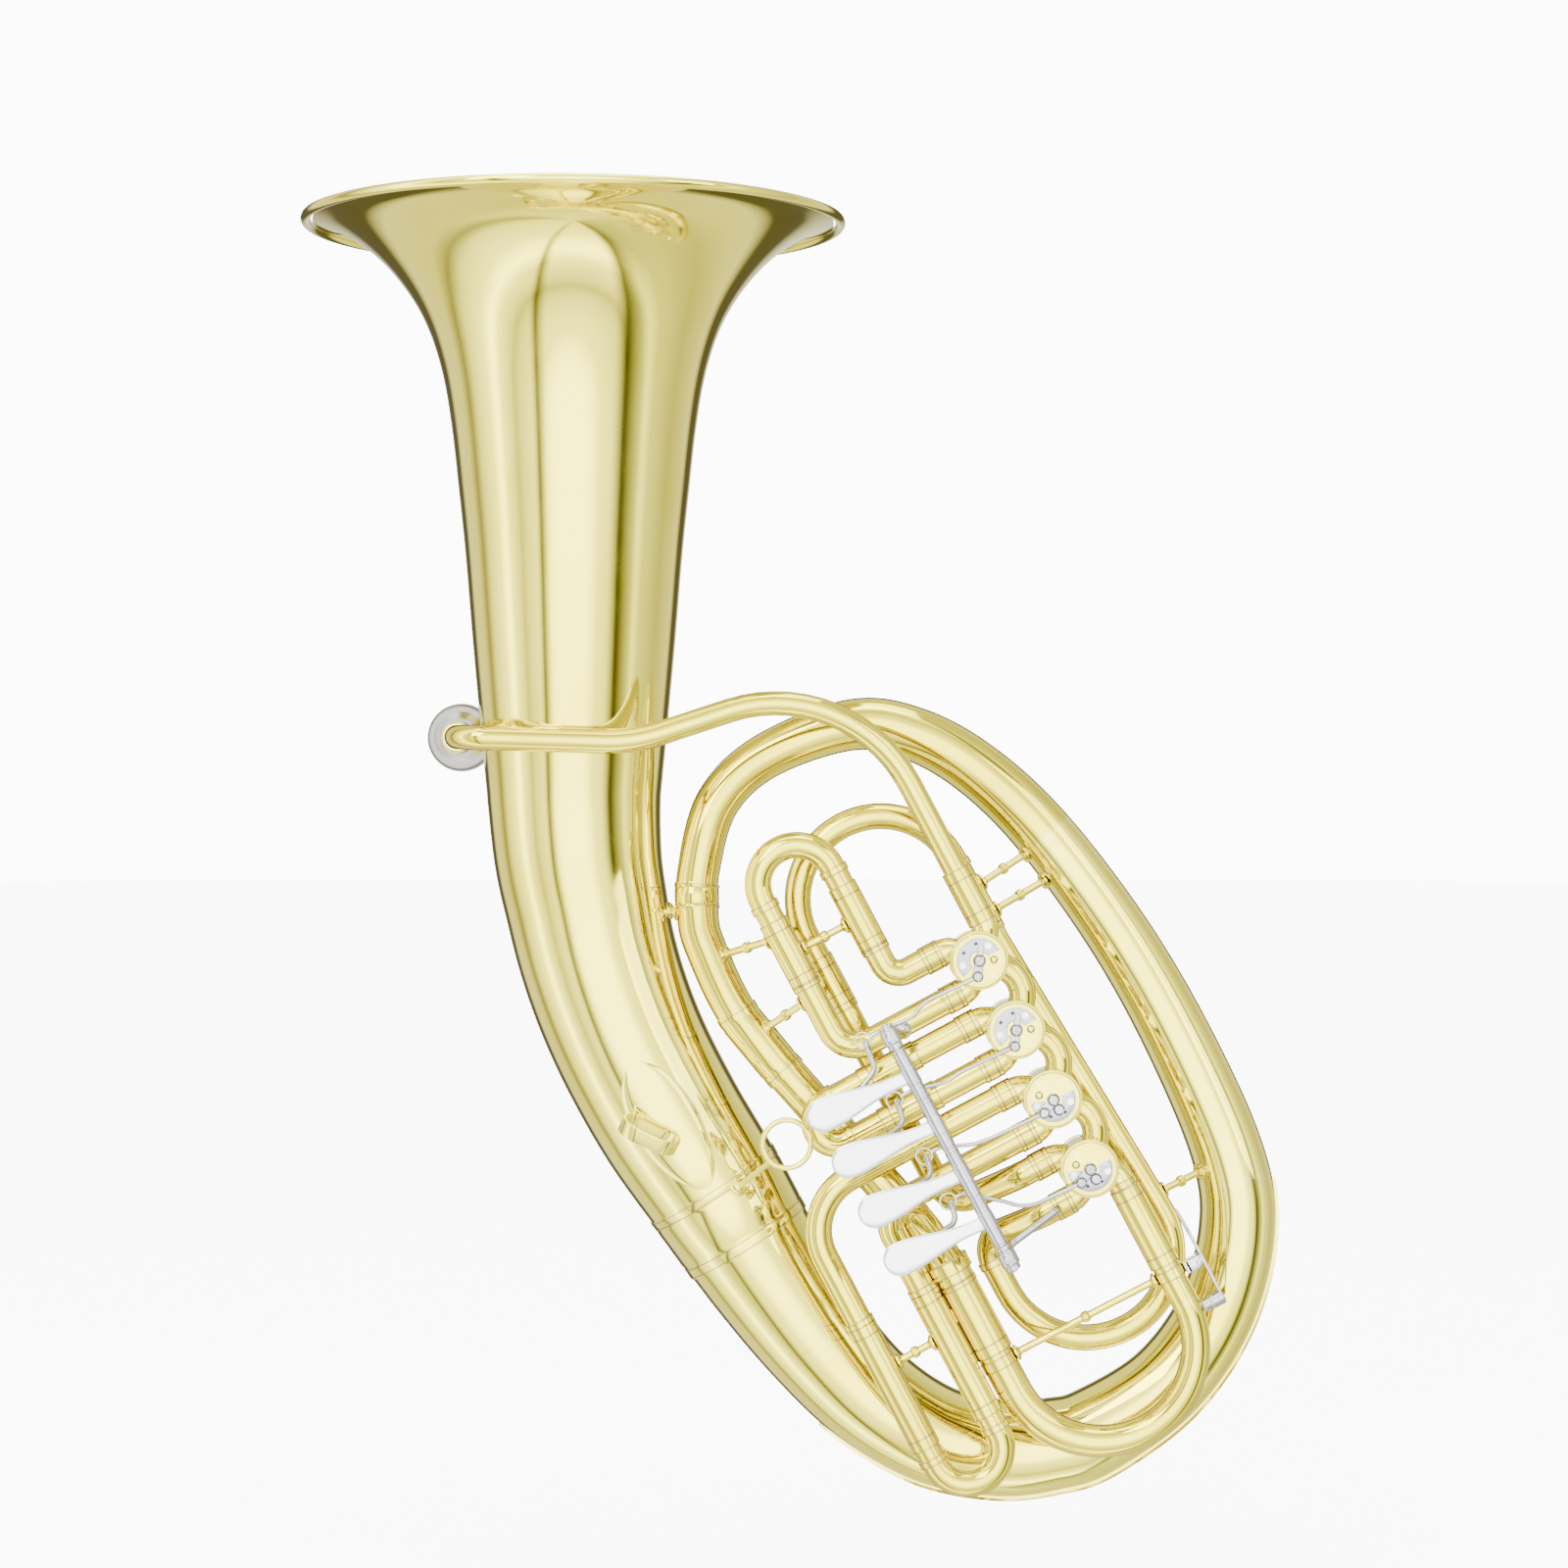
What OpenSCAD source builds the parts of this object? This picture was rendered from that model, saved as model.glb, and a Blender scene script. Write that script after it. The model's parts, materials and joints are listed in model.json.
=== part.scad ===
// Four-valve oval rotary baritone of the tuba family, bell up.
// The valve section is drawn in its own frame: u runs away from the valves
// towards the finger levers, v runs down the row of valves and w towards the front.

/* [Bell and bore] */
// Outer diameter of the bell across its rolled rim
bell_d = 280; // [276:1:284]
// Height from the lowest point of the bow to the plane of the rim
horn_h = 661.5; // [660:0.5:664]
// Wall of the bell, the bows and the branches
bore_wall = 0.8; // [0.6:0.1:1.2]
// Radius of the wire bead rolled into the rim
bead_r = 2.6; // [2.4:0.1:3.0]

/* [Valves] */
// Distance between neighbouring valve axes
valve_pitch = 39.2; // [38.8:0.1:40]
// Angle by which the row of valves leans from the vertical
valve_tilt = 28; // [27:0.5:29]
// Outer radius of a valve casing
casing_r = 14; // [13.8:0.1:14.2]
// Radius of a rotor
rotor_r = 12; // [11.8:0.1:12]
// Quarter-turn radius at which the link pins stand on the stop arms
arm_r = 7.9; // [7.6:0.1:8.1]

/* [Valve tubing] */
// Outer radius of the crooks and inner slides
tube_r = 6.75; // [6.6:0.05:6.8]
// Inner radius of the crooks and inner slides
tube_bore = 6.2; // [6:0.05:6.3]
// Outer radius of the outer slides and ferrules
sleeve_r = 7.5; // [7.4:0.05:7.6]
// Outer radius of the leadpipe
lead_r = 6.2; // [6:0.05:6.3]

/* [Levers] */
// Distance from the lever shaft to the end of a finger plate
lever_len = 55.5; // [54:0.5:58]
// Width of a finger plate at its round end
plate_w = 17; // [14:0.5:18]
// Height of the lever shaft in front of the middle plane of the valves
shaft_w = 46; // [45:0.5:48]
// Radius of the lever shaft
shaft_r = 1.8; // [1.6:0.1:2]

/* [Hidden] */
$fn = 48;

brass = "#dcc36a";
nickel = "#d5d7da";
dark_felt = "#4a4038";

// Where the first valve stands, and the depth of the plane that holds the valve tubes
valve_x = 205.5;
valve_z = 282.5;
valve_y = -44;

fit = 0.05;
wall = tube_r - tube_bore;
sleeve_bore = tube_r + fit;

// Ports leave a casing on its diagonals and bend by 45 degrees
port_bend = 9;
port_start = casing_r - 1.8;
port_off = port_start * sin(45) + port_bend * (1 - cos(45));
port_end = (port_start + port_bend) * cos(45);
hole_r = tube_bore - 0.3;
row = [for (i = [0 : 3]) i * valve_pitch];

// Levels of the valve parts along w
casing_low = -12.6;
casing_high = 14.4;
plate_t = 3.5;
arm_low = casing_high + plate_t + 0.5;
rod_w = arm_low + 3.6;

// Levers, from the first valve to the fourth
lever_u = 56.7;
root_v = [32.2, 59.7, 86.6, 112.8];
tip_v = [28.4, 53.9, 81.6, 108.2];
ball_v = [8.5, 42, 73.5, 99];
ball_u = 69;
hub_edge = [17.7, 45.7, 72.7, 99.6, 126.5];
arm_angle = [55, 55, 25, 25];
// Angles of the two corks on each valve's plate, and where the plate's sector begins
cork_angle = [[212, 348], [212, 348], [-7, 147], [-7, 147]];
plate_from = [180, 180, -20, -20];
// The eye of a link rod is this far from the ball, along u and along v
eye_shift = [0.9, -1.1];

// Middle line and outer radius of the main bore: [x, y, z, radius]
BORE = [[0, 0, 401, 48.3], [0, 0, 366, 45], [2, 0, 334, 43.3], [6.3, 0, 309, 42], [12, 0, 283, 41],
    [20.8, 0, 256, 40.2], [33, 0, 228, 39.4], [50.5, 0, 196, 38.6], [72, 0, 163, 36.8], [98, 0, 122, 33.2],
    [124, 0, 86, 29.8], [152, 0, 56, 27.4], [185, 0, 35, 26.2], [219, 0, 27.6, 25.4], [246, 0, 29.5, 24.4],
    [268, 0, 36, 23.5], [305, 0, 61, 21.6], [331, 0, 98, 20.6], [342, 0, 141, 20], [337, 0, 180, 18.9],
    [313, 0, 236, 17.8], [282, 0, 291, 16.8], [243, 0, 344, 15.8], [209, 0, 377, 14.8], [176, 0, 396, 14.2],
    [143, 0, 401, 13.4], [99, -1, 385, 12], [74, -4, 361, 11.5], [64.5, -8, 327, 11], [64, -11, 304, 10.8],
    [68, -14, 287, 10.7], [86, -20, 251, 10.5], [121, -23, 210, 10.2], [156, -25, 170, 10],
    [177, -31, 146, 9.9], [192.3, -38, 125, 9.9]];

function unit(v) = v / norm(v);
function clamp_index(i) = max(0, min(len(BORE) - 1, i));

// Smooth curve through the bore points; t counts the points
function bore(t) =
    let (i = min(floor(t), len(BORE) - 2), f = t - i)
    let (a = BORE[clamp_index(i - 1)], b = BORE[i], c = BORE[i + 1], d = BORE[clamp_index(i + 2)])
    0.5 * (2 * b + (c - a) * f + (2 * a - 5 * b + 4 * c - d) * f * f + (3 * b - a - 3 * c + d) * f * f * f);
function head(q) = [q[0], q[1], q[2]];
function bore_dir(t) = unit(head(bore(min(t + 0.02, len(BORE) - 1))) - head(bore(max(t - 0.02, 0))));
function carry(e, d) = unit(e - d * (e * d));
function carried(dirs, e, i = 0) =
    i == len(dirs) ? [] : let (next = carry(e, dirs[i])) concat([next], carried(dirs, next, i + 1));
function ring(p, d, r, n, e) = [for (i = [0 : n - 1]) p + r * (cos(360 * i / n) * e + sin(360 * i / n) * cross(d, e))];

// Tube through stations of [place, direction, outer radius, inner radius]; inner radius 0 makes it solid
module sweep(stations, n, solid = false) {
    m = len(stations);
    first = abs(stations[0][1][1]) > 0.9 ? [0, 0, 1] : [0, 1, 0];
    sides = carried([for (s = stations) s[1]], first);
    outer = [for (j = [0 : m - 1]) each ring(stations[j][0], stations[j][1], stations[j][2], n, sides[j])];
    inner = [for (j = [0 : m - 1]) each ring(stations[j][0], stations[j][1], stations[j][3], n, sides[j])];
    last = (m - 1) * n;
    skin = [for (j = [0 : m - 2], i = [0 : n - 1])
        [j * n + i, (j + 1) * n + i, (j + 1) * n + (i + 1) % n, j * n + (i + 1) % n]];
    if (solid) {
        polyhedron(outer, concat(skin, [[for (i = [0 : n - 1]) i]], [[for (i = [n - 1 : -1 : 0]) last + i]]),
            convexity = 6);
    } else {
        lining = [for (f = skin) [for (k = [3 : -1 : 0]) f[k] + m * n]];
        near = [for (i = [0 : n - 1]) [i, (i + 1) % n, m * n + (i + 1) % n, m * n + i]];
        far = [for (i = [0 : n - 1]) [last + i, m * n + last + i, m * n + last + (i + 1) % n, last + (i + 1) % n]];
        polyhedron(concat(outer, inner), concat(skin, lining, near, far), convexity = 8);
    }
}

// Stretch of the main bore between two places on its middle line
module bore_tube(from, to, steps, n, grow = 0, thick = bore_wall) {
    sweep([for (k = [0 : steps])
        let (t = from + (to - from) * k / steps, q = bore(t))
        [head(q), bore_dir(t), q[3] + grow, q[3] + grow - thick]], n);
}

// Place on the surface of the bore: a is the angle round it, 0 on the outside of the bends and -90 in front
function on_bore(t, a, lift) =
    let (q = bore(t), d = bore_dir(t), e = unit(cross([0, 1, 0], d)))
    head(q) + (q[3] + lift) * (cos(a) * e + sin(a) * cross(d, e));

// Plate lying on the bore: mid is its angle round the tube, spread its half width in degrees
module bore_plate(from, to, steps, mid, spread, lift, thick, arcs = 6) {
    outer = [for (k = [0 : steps])
        let (t = from + (to - from) * k / steps, s = max(4, spread * pow(sin(180 * k / steps), 0.5)))
        [for (level = [lift, lift + thick], j = [0 : arcs]) on_bore(t, mid - s + 2 * s * j / arcs, level)]];
    w = arcs + 1;
    n = 2 * w;
    loop = concat([for (j = [0 : arcs]) j], [for (j = [arcs : -1 : 0]) w + j]);
    sides = [for (k = [0 : steps - 1], j = [0 : n - 1])
        [k * n + loop[j], k * n + loop[(j + 1) % n], (k + 1) * n + loop[(j + 1) % n], (k + 1) * n + loop[j]]];
    start = [for (j = [0 : arcs - 1]) [j, w + j, w + j + 1, j + 1]];
    end = [for (j = [0 : arcs - 1]) [for (i = [j, j + 1, w + j + 1, w + j]) steps * n + i]];
    polyhedron([for (s = outer) each s], concat(sides, start, end), convexity = 4);
}

// Moves the drawing frame, whose floor is under the bow, to the frame of the part
module seat() {
    translate([0, 0, -horn_h]) children();
}

module valve_frame() {
    seat() multmatrix([
        [-cos(valve_tilt), sin(valve_tilt), 0, valve_x],
        [0, 0, -1, valve_y],
        [-sin(valve_tilt), -cos(valve_tilt), 0, valve_z]]) children();
}

// Puts +Z along a direction
module along(p, d) {
    translate(p) rotate([0, acos(d[2] / norm(d)), atan2(d[1], d[0])]) children();
}

module pipe(p, q, ro, ri) {
    along(p, q - p) difference() {
        cylinder(h = norm(q - p), r = ro);
        if (ri > 0) translate([0, 0, -1]) cylinder(h = norm(q - p) + 2, r = ri);
    }
}

// Places and directions round a bend at a corner between two unit directions
function bend(p, d1, d2, r, steps) =
    let (turn = acos(d1 * d2), side = unit(d2 - d1 * (d1 * d2)), c = p - d1 * r * tan(turn / 2) + side * r)
    [for (k = [0 : steps])
        let (a = turn * k / steps) [c - side * r * cos(a) + d1 * r * sin(a), d1 * cos(a) + side * sin(a)]];

// Places and directions along straight lines joined by bends; bend radii count from the second point
function route(pts, bends) =
    let (n = len(pts), d = [for (i = [0 : n - 2]) unit(pts[i + 1] - pts[i])])
    concat([[pts[0], d[0]]],
        [for (i = [1 : 1 : n - 2]) each bend(pts[i], d[i - 1], d[i], bends[i - 1], ceil(acos(d[i - 1] * d[i]) / 13))],
        [[pts[n - 1], d[n - 2]]]);

// Round rod or tube along a route; its flats lie just outside the radii given
module run(pts, bends, ro, ri, n = 16) {
    sweep([for (s = route(pts, bends)) [s[0], s[1], ro / cos(180 / n) + 0.02, ri / cos(180 / n) + 0.02]], n, ri == 0);
}

// Outer slide with the collar that joins it to the fixed tube at p
module sleeve(p, q, ro = sleeve_r, ri = sleeve_bore) {
    d = unit(q - p);
    pipe(p, q, ro, ri);
    pipe(p - d, p + 2 * d, ro + 0.5, ri - 0.35);
    pipe(q - 2.4 * d, q, ro + 0.5, ro - 0.2);
}

// Rod with a bead in the middle and a foot at each end
module brace(p, q, cut_p, cut_q, r = 1.9) {
    d = unit(q - p);
    a = p + d * cut_p;
    b = q - d * cut_q;
    m = (a + b) / 2;
    pipe(a, b, r, 0);
    pipe(m - 1.5 * d, m + 1.5 * d, r + 0.9, 0);
    pipe(a, a + 1.6 * d, r + 2.4, 0);
    pipe(b - 1.6 * d, b, r + 2.4, 0);
}

// ---- Bell and main bore ----

// Profile of the flare: radius at each height under the rim
FLARE = [[45, 295.5], [48.3, 260.5], [52.4, 215.5], [56, 172], [59.5, 138.5], [62.4, 112], [66.2, 87], [71, 68],
    [77, 52.5], [84.5, 39.5], [93.5, 27.8], [103, 18.2], [113, 10.6], [123, 5.4], [134, 2.4]];

module bell_flare() {
    out = [for (q = FLARE) [q[0], horn_h - q[1]]];
    in = [for (i = [len(FLARE) - 1 : -1 : 0])
        let (a = out[max(i - 1, 0)], b = out[min(i + 1, len(FLARE) - 1)], d = unit(b - a))
        out[i] + (i == 0 ? [-bore_wall, 0] : bore_wall * [-d[1], d[0]])];
    color(brass) seat() rotate_extrude($fn = 96) polygon(concat(out, in));
}

module bell_rim() {
    flat = 0.4;
    color(brass) seat() rotate_extrude($fn = 96) difference() {
        translate([bell_d / 2 - bead_r, horn_h + flat - bead_r]) circle(r = bead_r);
        translate([bell_d / 2 - 2 * bead_r, horn_h]) square([3 * bead_r, bead_r]);
    }
}

module bell_tail() {
    color(brass) seat() bore_tube(1, 8.33, 15, 30);
}

module bell_ferrule() {
    color(brass) seat() bore_tube(7.95, 8.7, 4, 30, 1.1, 1);
}

module bottom_bow() {
    color(brass) seat() bore_tube(8.33, 18.7, 20, 26);
}

module bow_guard() {
    color(brass) seat() bore_plate(10.8, 18.6, 18, 0, 26, 0.25, 1.2);
}

module side_branch() {
    color(brass) seat() bore_tube(18.7, 22, 8, 24);
}

module top_bow() {
    color(brass) seat() bore_tube(22, 28.6, 15, 24);
}

module left_branch() {
    color(brass) seat() bore_tube(28.6, 35, 16, 22);
}

module branch_ferrules() {
    color(brass) seat() {
        bore_tube(28.3, 28.9, 2, 24, 1, 0.9);
        bore_tube(30.9, 31.7, 2, 22, 1, 0.9);
    }
}

// ---- Leadpipe and mouthpiece ----
lead_start = [valve_x + (port_off) * cos(valve_tilt) - port_end * sin(valve_tilt), valve_y,
    valve_z + port_off * sin(valve_tilt) + port_end * cos(valve_tilt)];
lead_up = [-sin(valve_tilt), 0, cos(valve_tilt)];
lead_top = lead_start + 143 * lead_up;
lead_front = [33, -56, 391.4];
lead_turn = [-56, -56, 394];
cup_axis = unit([-6, 101, 1]);
lead_bend = 16;
receiver_from = 17;
receiver_to = 50;
lead_end = 27;
shank_from = 28;
mouthpiece_len = 73;

module leadpipe() {
    color(brass) seat() {
        pipe(lead_start, lead_start + 30 * lead_up, sleeve_r, lead_r - 0.1);
        run([lead_start + 30 * lead_up, lead_top, lead_front, lead_turn, lead_turn + lead_bend * cup_axis],
            [76, 80, lead_bend], lead_r, lead_r - wall);
        pipe(lead_turn + lead_bend * cup_axis, lead_turn + lead_end * cup_axis, lead_r, lead_r - wall);
    }
}

module mouthpiece_receiver() {
    color(brass) seat() along(lead_turn + receiver_from * cup_axis, cup_axis) rotate_extrude()
        polygon([[lead_r + 0.02, 0], [7.2, 0], [7.4, 2], [7.4, 24], [8, 27], [8, 31], [7.4, receiver_to - receiver_from],
            [lead_r + 0.02, receiver_to - receiver_from]]);
}

module mouthpiece() {
    h = mouthpiece_len;
    color(nickel) seat() along(lead_turn + shank_from * cup_axis, cup_axis) rotate_extrude()
        polygon([[4.2, 0], [5.2, 0], [6.1, 30], [7.2, 38], [9.2, 44], [14.2, 51], [17, 58], [17.4, 64], [16.8, 68],
            [18, h - 3.5], [18, h - 1.4], [17, h - 0.3], [15.4, h], [13.6, h - 0.7], [12.6, h - 2.6], [12, h - 8],
            [9.8, h - 16], [6, h - 22], [3.3, h - 26], [3.3, h - 30]]);
}

// ---- Rotary valves ----
module port_bore(quarter, from, to) {
    rotate([0, 0, 45 + 90 * quarter]) translate([from, 0, 0]) rotate([0, 90, 0]) cylinder(h = to - from, r = hole_r);
}

// Bend from a port on a diagonal to a direction along the row or across it
module port_elbow(quarter, turn_sign, ro, ri) {
    rotate([0, 0, 45 + 90 * quarter]) translate([port_start, turn_sign * port_bend, 0])
        rotate([0, 0, turn_sign > 0 ? -90 : 45]) rotate_extrude(angle = 45) translate([port_bend, 0]) difference() {
            circle(r = ro);
            if (ri > 0) circle(r = ri);
        }
}

module valve_casing(i) {
    first = i == 0;
    last = i == 3;
    color(brass) valve_frame() translate([0, row[i], 0]) difference() {
        union() {
            translate([0, 0, casing_low]) cylinder(h = casing_high - casing_low, r = casing_r);
            port_elbow(0, -1, tube_r, 0);
            port_elbow(3, 1, tube_r, 0);
            if (first) port_elbow(2, 1, tube_r, 0);
            if (last) port_elbow(1, -1, tube_r, 0);
        }
        translate([0, 0, casing_low - 1]) cylinder(h = casing_high - casing_low + 2, r = rotor_r + fit);
        for (q = [0 : 3]) port_bore(q, rotor_r - 3, port_start + 0.1);
        port_elbow(0, -1, tube_bore, 0);
        port_elbow(3, 1, tube_bore, 0);
        if (first) port_elbow(2, 1, tube_bore, 0);
        if (last) port_elbow(1, -1, tube_bore, 0);
        if (!first) port_bore(2, port_start - 1, casing_r + 2);
        if (!last) port_bore(1, port_start - 1, casing_r + 2);
    }
}

// Quarter bend that carries the air from one valve to the next
module valve_knuckles() {
    reach = port_start * cos(45);
    r = (valve_pitch / 2 - reach) / sin(45);
    color(brass) valve_frame() for (i = [0 : 2]) difference() {
        translate([r * cos(45) - reach, row[i] + valve_pitch / 2, 0]) rotate([0, 0, 135])
            rotate_extrude(angle = 90) translate([r, 0]) difference() {
                circle(r = tube_r);
                circle(r = tube_bore);
            }
        for (v = [row[i], row[i + 1]]) translate([0, v, -tube_r - 1]) cylinder(h = 2 * tube_r + 2, r = casing_r);
    }
}

// Rotor with its two air passages and a spindle at each end
module rotor(i) {
    passage = 5.6;
    bend = 19.6;
    color(brass) valve_frame() translate([0, row[i], 0]) {
        difference() {
            translate([0, 0, casing_low + 0.3]) cylinder(h = casing_high - casing_low - 0.6, r = rotor_r);
            for (s = [-1, 1]) translate([s * 26.4, 0, 0]) rotate_extrude() translate([bend, 0]) circle(r = passage);
        }
        translate([0, 0, casing_high - 1]) cylinder(h = arm_low - casing_high + 0.9, r = 3);
        translate([0, 0, casing_high]) cylinder(h = arm_low - casing_high + 1.7, r = 1.6);
        translate([0, 0, casing_low - 2]) cylinder(h = 3, r = 3);
    }
}

module bearing_plate(i) {
    color(brass) valve_frame() translate([0, row[i], 0]) difference() {
        union() {
            translate([0, 0, casing_high]) cylinder(h = plate_t - 0.7, r = casing_r + 0.7);
            translate([0, 0, casing_high]) cylinder(h = plate_t - 0.3, r = casing_r - 0.6);
        }
        translate([0, 0, casing_high - 1]) cylinder(h = plate_t + 2, r = 3 + fit);
    }
}

module rear_caps() {
    color(brass) valve_frame() for (v = row) translate([0, v, casing_low - 2.9]) difference() {
        cylinder(h = 2.9, r = casing_r + 0.3);
        translate([0, 0, 0.6]) cylinder(h = 3, r = 3 + fit);
    }
}

// Fixed sector plate under each stop arm
module stop_plates() {
    color(nickel) valve_frame() for (i = [0 : 3])
        translate([0, row[i], casing_high + plate_t - 0.3]) rotate([0, 0, plate_from[i]])
            rotate_extrude(angle = 200) translate([4.4, 0]) square([7, 0.5]);
}

module stop_corks() {
    color(dark_felt) valve_frame() for (i = [0 : 3], a = cork_angle[i])
        translate([0, row[i], casing_high + plate_t + 0.2]) rotate([0, 0, a])
            translate([8.6, 0, 0]) cylinder(h = 1.8, r = 1.8);
}

function pin_at(i) = [arm_r * cos(arm_angle[i]), arm_r * sin(arm_angle[i])];

module stop_arm(i) {
    pin = pin_at(i);
    color(nickel) valve_frame() translate([0, row[i], arm_low]) {
        difference() {
            union() {
                cylinder(h = 2.2, r = 3.1);
                rotate([0, 0, arm_angle[i]]) translate([0, -1.7, 0]) cube([arm_r, 3.4, 1.5]);
                if (i < 2) rotate([0, 0, arm_angle[i] + 180]) translate([0, -1.5, 0]) cube([8, 3, 1.5]);
                translate([pin[0], pin[1], 0]) cylinder(h = 1.5, r = 2.5);
            }
            translate([0, 0, -1]) cylinder(h = 4, r = 1.6 + fit);
        }
        translate([0, 0, 2.1]) cylinder(h = 0.9, r = 2.4);
        translate([pin[0], pin[1], 1]) cylinder(h = 4.6, r = 1.3);
        translate([pin[0], pin[1], 5.2]) cylinder(h = 0.9, r = 2.1);
    }
}

// Curved rod from the pin of the stop arm to the ball of the lever
module link_rod(i) {
    a = [pin_at(i)[0], row[i] + pin_at(i)[1], rod_w];
    b = [ball_u + eye_shift[0], ball_v[i] + eye_shift[1], rod_w];
    dip = [a[0] + 30, a[1] - 1.5, rod_w];
    rise = [a[0] + 38, (a[1] + b[1]) / 2 + 2, rod_w];
    eye = 4.7;
    color(nickel) valve_frame() difference() {
        union() {
            run([a + [2, 0, 0], dip, rise, b - [9, 0, 0], b - [4, 0, 0]], [20, 12, 8], 1, 0, 8);
            translate(a - [0, 0, 1.2]) cylinder(h = 2.4, r = 2.9);
            translate(b - [0, 0, 1.2]) cylinder(h = 2.4, r = eye);
        }
        translate(a - [0, 0, 3]) cylinder(h = 6, r = 1.3 + fit);
        translate(b - [0, 0, 3]) cylinder(h = 6, r = eye - 1.2);
    }
}

// ---- Levers ----
module lever(i) {
    hub = [hub_edge[i] + 0.15, hub_edge[i + 1] - 0.15];
    root = [lever_u, root_v[i], shaft_w];
    lean = atan2(tip_v[i] - root_v[i], lever_len);
    reach = lever_len - plate_w / 2;
    under = [84, root_v[i] + (84 - lever_u) * tan(lean), shaft_w - 0.6];
    ball = [ball_u, ball_v[i], rod_w];
    stem = 6.2;
    color(nickel) valve_frame() {
        difference() {
            union() {
                translate([lever_u, hub[0], shaft_w]) rotate([-90, 0, 0]) cylinder(h = hub[1] - hub[0], r = 3.6);
                translate(root) rotate([0, 0, lean]) translate([0, 0, -1.1]) linear_extrude(2.2) {
                    polygon([[0, -3], [reach * 0.45, -4], [reach, -plate_w / 2], [reach, plate_w / 2],
                        [reach * 0.45, 4], [0, 3]]);
                    translate([reach, 0]) circle(r = plate_w / 2);
                }
            }
            translate([lever_u, hub[0] - 1, shaft_w]) rotate([-90, 0, 0])
                cylinder(h = hub[1] - hub[0] + 2, r = shaft_r + fit);
        }
        run([under, [84, under[1] - 2, shaft_w - 11], [71, (ball[1] + under[1]) / 2 + 3, rod_w + 9],
            ball + [0, 0, 8], ball + [0, 0, stem]], [4, 5, 2.5], 1.5, 0, 8);
        translate(ball) cylinder(h = stem, r = 1.1);
        translate(ball) sphere(r = 1.7);
    }
}

post_v = [4.4, 127.2];
post_len = 12.6;

module lever_shaft() {
    color(nickel) valve_frame() translate([lever_u, post_v[0] - 1, shaft_w]) rotate([-90, 0, 0])
        cylinder(h = post_v[1] - post_v[0] + post_len + 2, r = shaft_r);
}

module lever_posts() {
    mid = post_v + [post_len, post_len] / 2;
    low_v = row[3] + port_off;
    // The upper post's rod stands clear of the swing of the first link rod
    bracket = [50, 13.6];
    color(nickel) valve_frame() {
        for (v = post_v) translate([lever_u, v, shaft_w]) rotate([-90, 0, 0]) difference() {
            union() {
                cylinder(h = post_len, r = 3.9);
                translate([0, 0, 3]) cylinder(h = 6.6, r = 4.8);
            }
            translate([0, 0, -1]) cylinder(h = post_len + 2, r = shaft_r + 0.02);
        }
        run([[lever_u, mid[0], shaft_w - 3.4], [bracket[0], bracket[1], 30], [bracket[0], bracket[1], 6.2]],
            [10], 2.2, 0, 10);
        run([[lever_u, mid[1], shaft_w - 3.4], [lever_u, mid[1], 13], [24, low_v, 10], [23.5, low_v, 7.2]],
            [9, 2.4], 2, 0, 10);
    }
}

// ---- Valve slides ----
slide_1_u = [43, 82];
slide_1_end = -65;
slide_2_end = 81;
slide_3_u = [102.6, 138];
slide_3_end = 205;
loop_w = -24.2;
stub_end = 26;
loop_u = [-13.8, 71];
loop_end = -37;

module collar(p, d) {
    pipe(p, p + 4 * d, sleeve_r, tube_bore + 0.2);
}

// Short straight tube out of a valve port, with its collar
module stub(v) {
    pipe([port_end, v, 0], [stub_end, v, 0], tube_r, tube_bore);
    collar([21, v, 0], [1, 0, 0]);
}

// U-shaped crook: legs start at p and q, run along d and turn through a half circle
module crook(p, q, d, straight) {
    r = norm(q - p) / 2;
    x = unit(q - p);
    z = cross(x, d);
    c = (p + q) / 2 + d * straight;
    multmatrix([[x[0], d[0], z[0], c[0]], [x[1], d[1], z[1], c[1]], [x[2], d[2], z[2], c[2]]])
        rotate_extrude(angle = 180) translate([r, 0]) difference() {
            circle(r = tube_r);
            circle(r = tube_bore);
        }
    for (s = [p, q]) {
        pipe(s, s + d * straight, tube_r, tube_bore);
        collar(s + d * (straight - 5), d);
    }
}

module slide_1_tubes() {
    color(brass) valve_frame() for (k = [0, 1]) {
        v = (2 * k - 1) * port_off;
        u = slide_1_u[k];
        stub(v);
        run([[stub_end, v, 0], [u, v, 0], [u, -28, 0]], [9 + 5 * k], tube_r, tube_bore);
        sleeve([u, -29, 0], [u, slide_1_end, 0]);
    }
}

module slide_1_crook() {
    color(brass) valve_frame() crook([slide_1_u[0], -36, 0], [slide_1_u[1], -36, 0], [0, -1, 0], 40);
}

module slide_2_tubes() {
    color(brass) valve_frame() for (k = [-1, 1]) {
        v = row[1] + k * port_off;
        pipe([port_end, v, 0], [52, v, 0], tube_r, tube_bore);
        sleeve([49, v, 0], [slide_2_end, v, 0]);
        collar([21, v, 0], [1, 0, 0]);
    }
}

module slide_2_crook() {
    v = row[1];
    color(brass) valve_frame() crook([55, v - port_off, 0], [55, v + port_off, 0], [1, 0, 0], 46);
}

module slide_3_tubes() {
    color(brass) valve_frame() for (k = [0, 1]) {
        v = row[2] + (1 - 2 * k) * port_off;
        u = slide_3_u[k];
        stub(v);
        run([[stub_end, v, 0], [u, v, 0], [u, 134, 0]], [14 + 16 * k], tube_r, tube_bore);
        sleeve([u, 135, 0], [u, slide_3_end, 0]);
    }
}

module slide_3_crook() {
    color(brass) valve_frame() crook([slide_3_u[0], 143, 0], [slide_3_u[1], 143, 0], [0, 1, 0], 72);
}

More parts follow.
